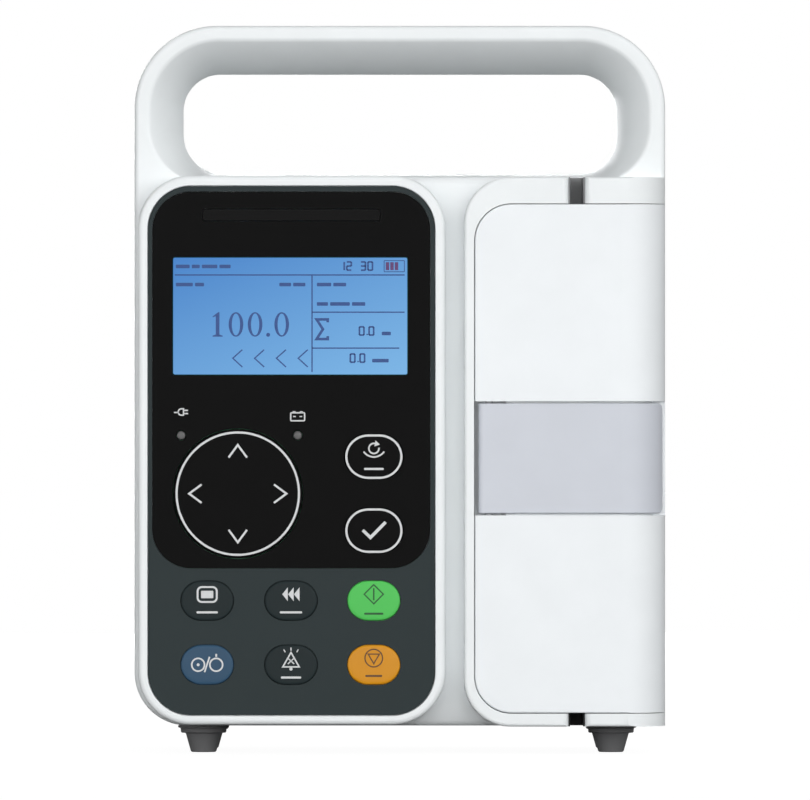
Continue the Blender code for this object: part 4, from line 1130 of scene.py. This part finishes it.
def make_clamp(finishes):
    plan = [(-35, COVER_REAR + GAP), (39, COVER_REAR + GAP), (39, 147), (36, 150), (27, 150), (27, 117),
            (-22, 117), (-22, 122), (-29, CLAMP_DEPTH), (-22, 144), (-22, 150), (-35, 150)]
    bracket = extruded("pole_bracket", [plan], CLAMP_Z - 22.5, CLAMP_Z + 22.5, "Z")
    soften(bracket, 1.4, 4)
    settle(bracket)
    carve(bracket, [extruded("hole", [circle(CLAMP_DEPTH, CLAMP_Z, SPINDLE[2] + GAP)], 20, 45, "X")])
    piece(bracket, "root", finishes["cast"], ["clamp_bracket"])
    places = [(x, CLAMP_Z + rise) for x in (-12, 14) for rise in (14, -14)]
    make_screws("bracket_screw", places, 116.95, 1, finishes["steel"], 3.2)

    make_spindle(finishes)
    start, end = 60.0, 78.0
    profile = [(3.0, 0.0), (1.0, 0.35), (0.3, 1.0), (0.0, 2.2), (0.0, 15.0), (0.3, 16.6),
               (1.2, 17.5), (3.0, 18.0)]
    knob = stacked("clamp_grip", [(lobed(inset), start + rise) for inset, rise in profile], "X")
    piece(knob, "clamp_screw", finishes["dark"], ["clamp_knob"])
    cap = turned("clamp_grip_cap", [(0, 0), (6.0, 0), (6.4, -0.1), (6.4, -0.6), (0, -0.6)],
                 (end, CLAMP_DEPTH, CLAMP_Z), "X", 48)
    piece(cap, "clamp_screw", finishes["steel"])

    disc = [(0, 5), (8.6, 5), (9.4, 4.7), (9.6, 4.0), (9.6, 3.0), (10, 2.8), (10, 0.5), (9.6, 0), (8.4, 0),
            (8.1, 0.4), (6.4, 0.4), (6.1, 0), (0, 0)]
    pad = turned("clamp_face", disc, (7, CLAMP_DEPTH, CLAMP_Z), "X", 64)
    piece(pad, "clamp_slide", finishes["rubber"], ["clamp_pad"])


def lobed(inset):
    points = []
    for step in range(96):
        angle = 2 * math.pi * step / 96
        reach = 15.3 + 1.2 * math.cos(6 * angle) - inset
        points.append((CLAMP_DEPTH + reach * math.cos(angle), CLAMP_Z + reach * math.sin(angle)))
    return points


def make_spindle(finishes):
    """A screw whose thread is a real helix."""
    start, end, radius = SPINDLE
    around, per_turn = 32, 8
    rows = int((end - start) / THREAD_PITCH * per_turn)
    sections = []
    for row in range(rows + 1):
        x = start + (end - start) * row / rows
        taper = min(1.0, (x - start) / 2, (end - x) / 2)
        outline = []
        for step in range(around):
            share = (x / THREAD_PITCH - step / around) % 1.0
            reach = radius - 0.75 * (1 - abs(2 * share - 1)) - 0.6 * (1 - taper)
            angle = 2 * math.pi * step / around
            outline.append((CLAMP_DEPTH + reach * math.cos(angle), CLAMP_Z + reach * math.sin(angle)))
        sections.append((outline, x))
    spindle = stacked("clamp_thread", sections, "X")
    piece(spindle, "clamp_screw", finishes["steel"], ["clamp_spindle"], sharp=60)


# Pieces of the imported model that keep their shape, apart from a soft edge, by their finish

KEPT = {
    "lever": ("mechanism_plate", "door_inner_plate") + tuple(f"finger_{index}" for index in range(1, 9)),
    "steel": ("mechanism_frame", "upper_bearing", "lower_bearing", "camshaft", "cam_pulley", "motor_pulley",
              "power_supply", "pressure_sensor", "hinge_pin", "lever_pin", "platen"),
    "dark": ("air_detector", "dpad_gimbal"),
    "rubber": ("timing_belt",),
    "blue": ("free_flow_clamp",),
    "board": ("keypad_board", "main_board"),
    "wrap": ("battery_pack",),
    "motor": ("stepper_motor",),
}


def finish_kept_nodes(finishes):
    for finish, names in KEPT.items():
        for name in names:
            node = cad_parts[name]
            node.data.materials.clear()
            node.data.materials.append(finishes[finish])
            soften(node, 0.12, 2, 45)


# Stage


def make_lamp(name, place, size, power):
    light = bpy.data.lights.new(name, "AREA")
    light.shape = "DISK"
    light.size = size
    light.energy = power
    lamp = added(name, light)
    lamp.location = place
    lamp.visible_camera = False
    lamp.rotation_euler = (Vector(LAMP_AIM) - Vector(place)).to_track_quat("-Z", "Y").to_euler()


def make_floor():
    shape = bmesh.new()
    bmesh.ops.create_circle(shape, cap_ends=True, segments=96, radius=14.0)
    floor = as_object("floor", shape)
    pale = bpy.data.materials.new("floor_pale")
    pale.use_nodes = True
    tree = pale.node_tree
    shader = tree.nodes["Principled BSDF"]
    shader.inputs["Base Color"].default_value = (0.11, 0.11, 0.11, 1)
    shader.inputs["Roughness"].default_value = 0.9
    shader.inputs["Specular IOR Level"].default_value = 0.0
    shader.inputs["Emission Color"].default_value = (1, 1, 1, 1)
    seen = tree.nodes.new("ShaderNodeLightPath").outputs["Is Camera Ray"]
    tree.links.new(Maths(tree).product(seen, FLOOR_GLOW), shader.inputs["Emission Strength"])
    floor.data.materials.append(pale)


def make_sky():
    """A white room whose front light hugs the horizon, with less from the right, rear and top.

    The camera sees plain white, and mirror reflections see a dim front, as round a camera.
    """
    world = bpy.data.worlds.new("studio")
    bpy.context.scene.world = world
    world.use_nodes = True
    tree = world.node_tree
    maths = Maths(tree)
    split = tree.nodes.new("ShaderNodeSeparateXYZ")
    tree.links.new(tree.nodes.new("ShaderNodeTexCoord").outputs["Generated"], split.inputs["Vector"])
    x, y, z = (split.outputs[axis] for axis in "XYZ")
    path = tree.nodes.new("ShaderNodeLightPath")
    ahead = maths.do("MAXIMUM", maths.product(y, -1), 0)
    lowness = maths.do("POWER", maths.do("SUBTRACT", 1, z), 4)
    dimming = maths.do("SUBTRACT", 1, maths.product(path.outputs["Is Glossy Ray"], GLOSS_DIMMING))
    front = maths.product(ahead, lowness, dimming, FRONT_LIGHT)
    others = [maths.product(maths.do("MAXIMUM", way, 0), level)
              for way, level in ((x, RIGHT_LIGHT), (y, REAR_LIGHT), (z, TOP_LIGHT))]
    over_the_floor = maths.do("GREATER_THAN", z, -0.01)
    light = maths.product(maths.total(front, *others), over_the_floor)
    background = tree.nodes["Background"]
    background.inputs["Color"].default_value = (1, 1, 1, 1)
    shown = maths.do("MAXIMUM", light, path.outputs["Is Camera Ray"])
    tree.links.new(shown, background.inputs["Strength"])


def make_camera():
    """A long lens, straight at the front, as far away as the frame's width asks."""
    lens, sensor, width = 600.0, 36.0, 0.3048
    data = bpy.data.cameras.new("camera")
    data.lens = lens
    data.sensor_width = sensor
    data.clip_end = 100.0
    camera = added("camera", data)
    camera.location = at(*VIEW_CENTRE) - Vector((0, width * lens / sensor, 0))
    camera.rotation_euler = (math.radians(90), 0, 0)
    bpy.context.scene.camera = camera


def main():
    bpy.context.scene.view_settings.view_transform = "Standard"
    finishes = make_finishes()
    make_camera()
    make_floor()
    make_sky()
    for name, settings in LAMPS.items():
        make_lamp(name, *settings)
    for make in (make_housing, make_rear_cover, make_feet, make_inlet, make_control_module, make_keys,
                 make_pad, make_display, make_panel_prints, make_pump_bezel, make_door, make_lever,
                 make_mechanism_details, make_clamp, finish_kept_nodes):
        make(finishes)


main()
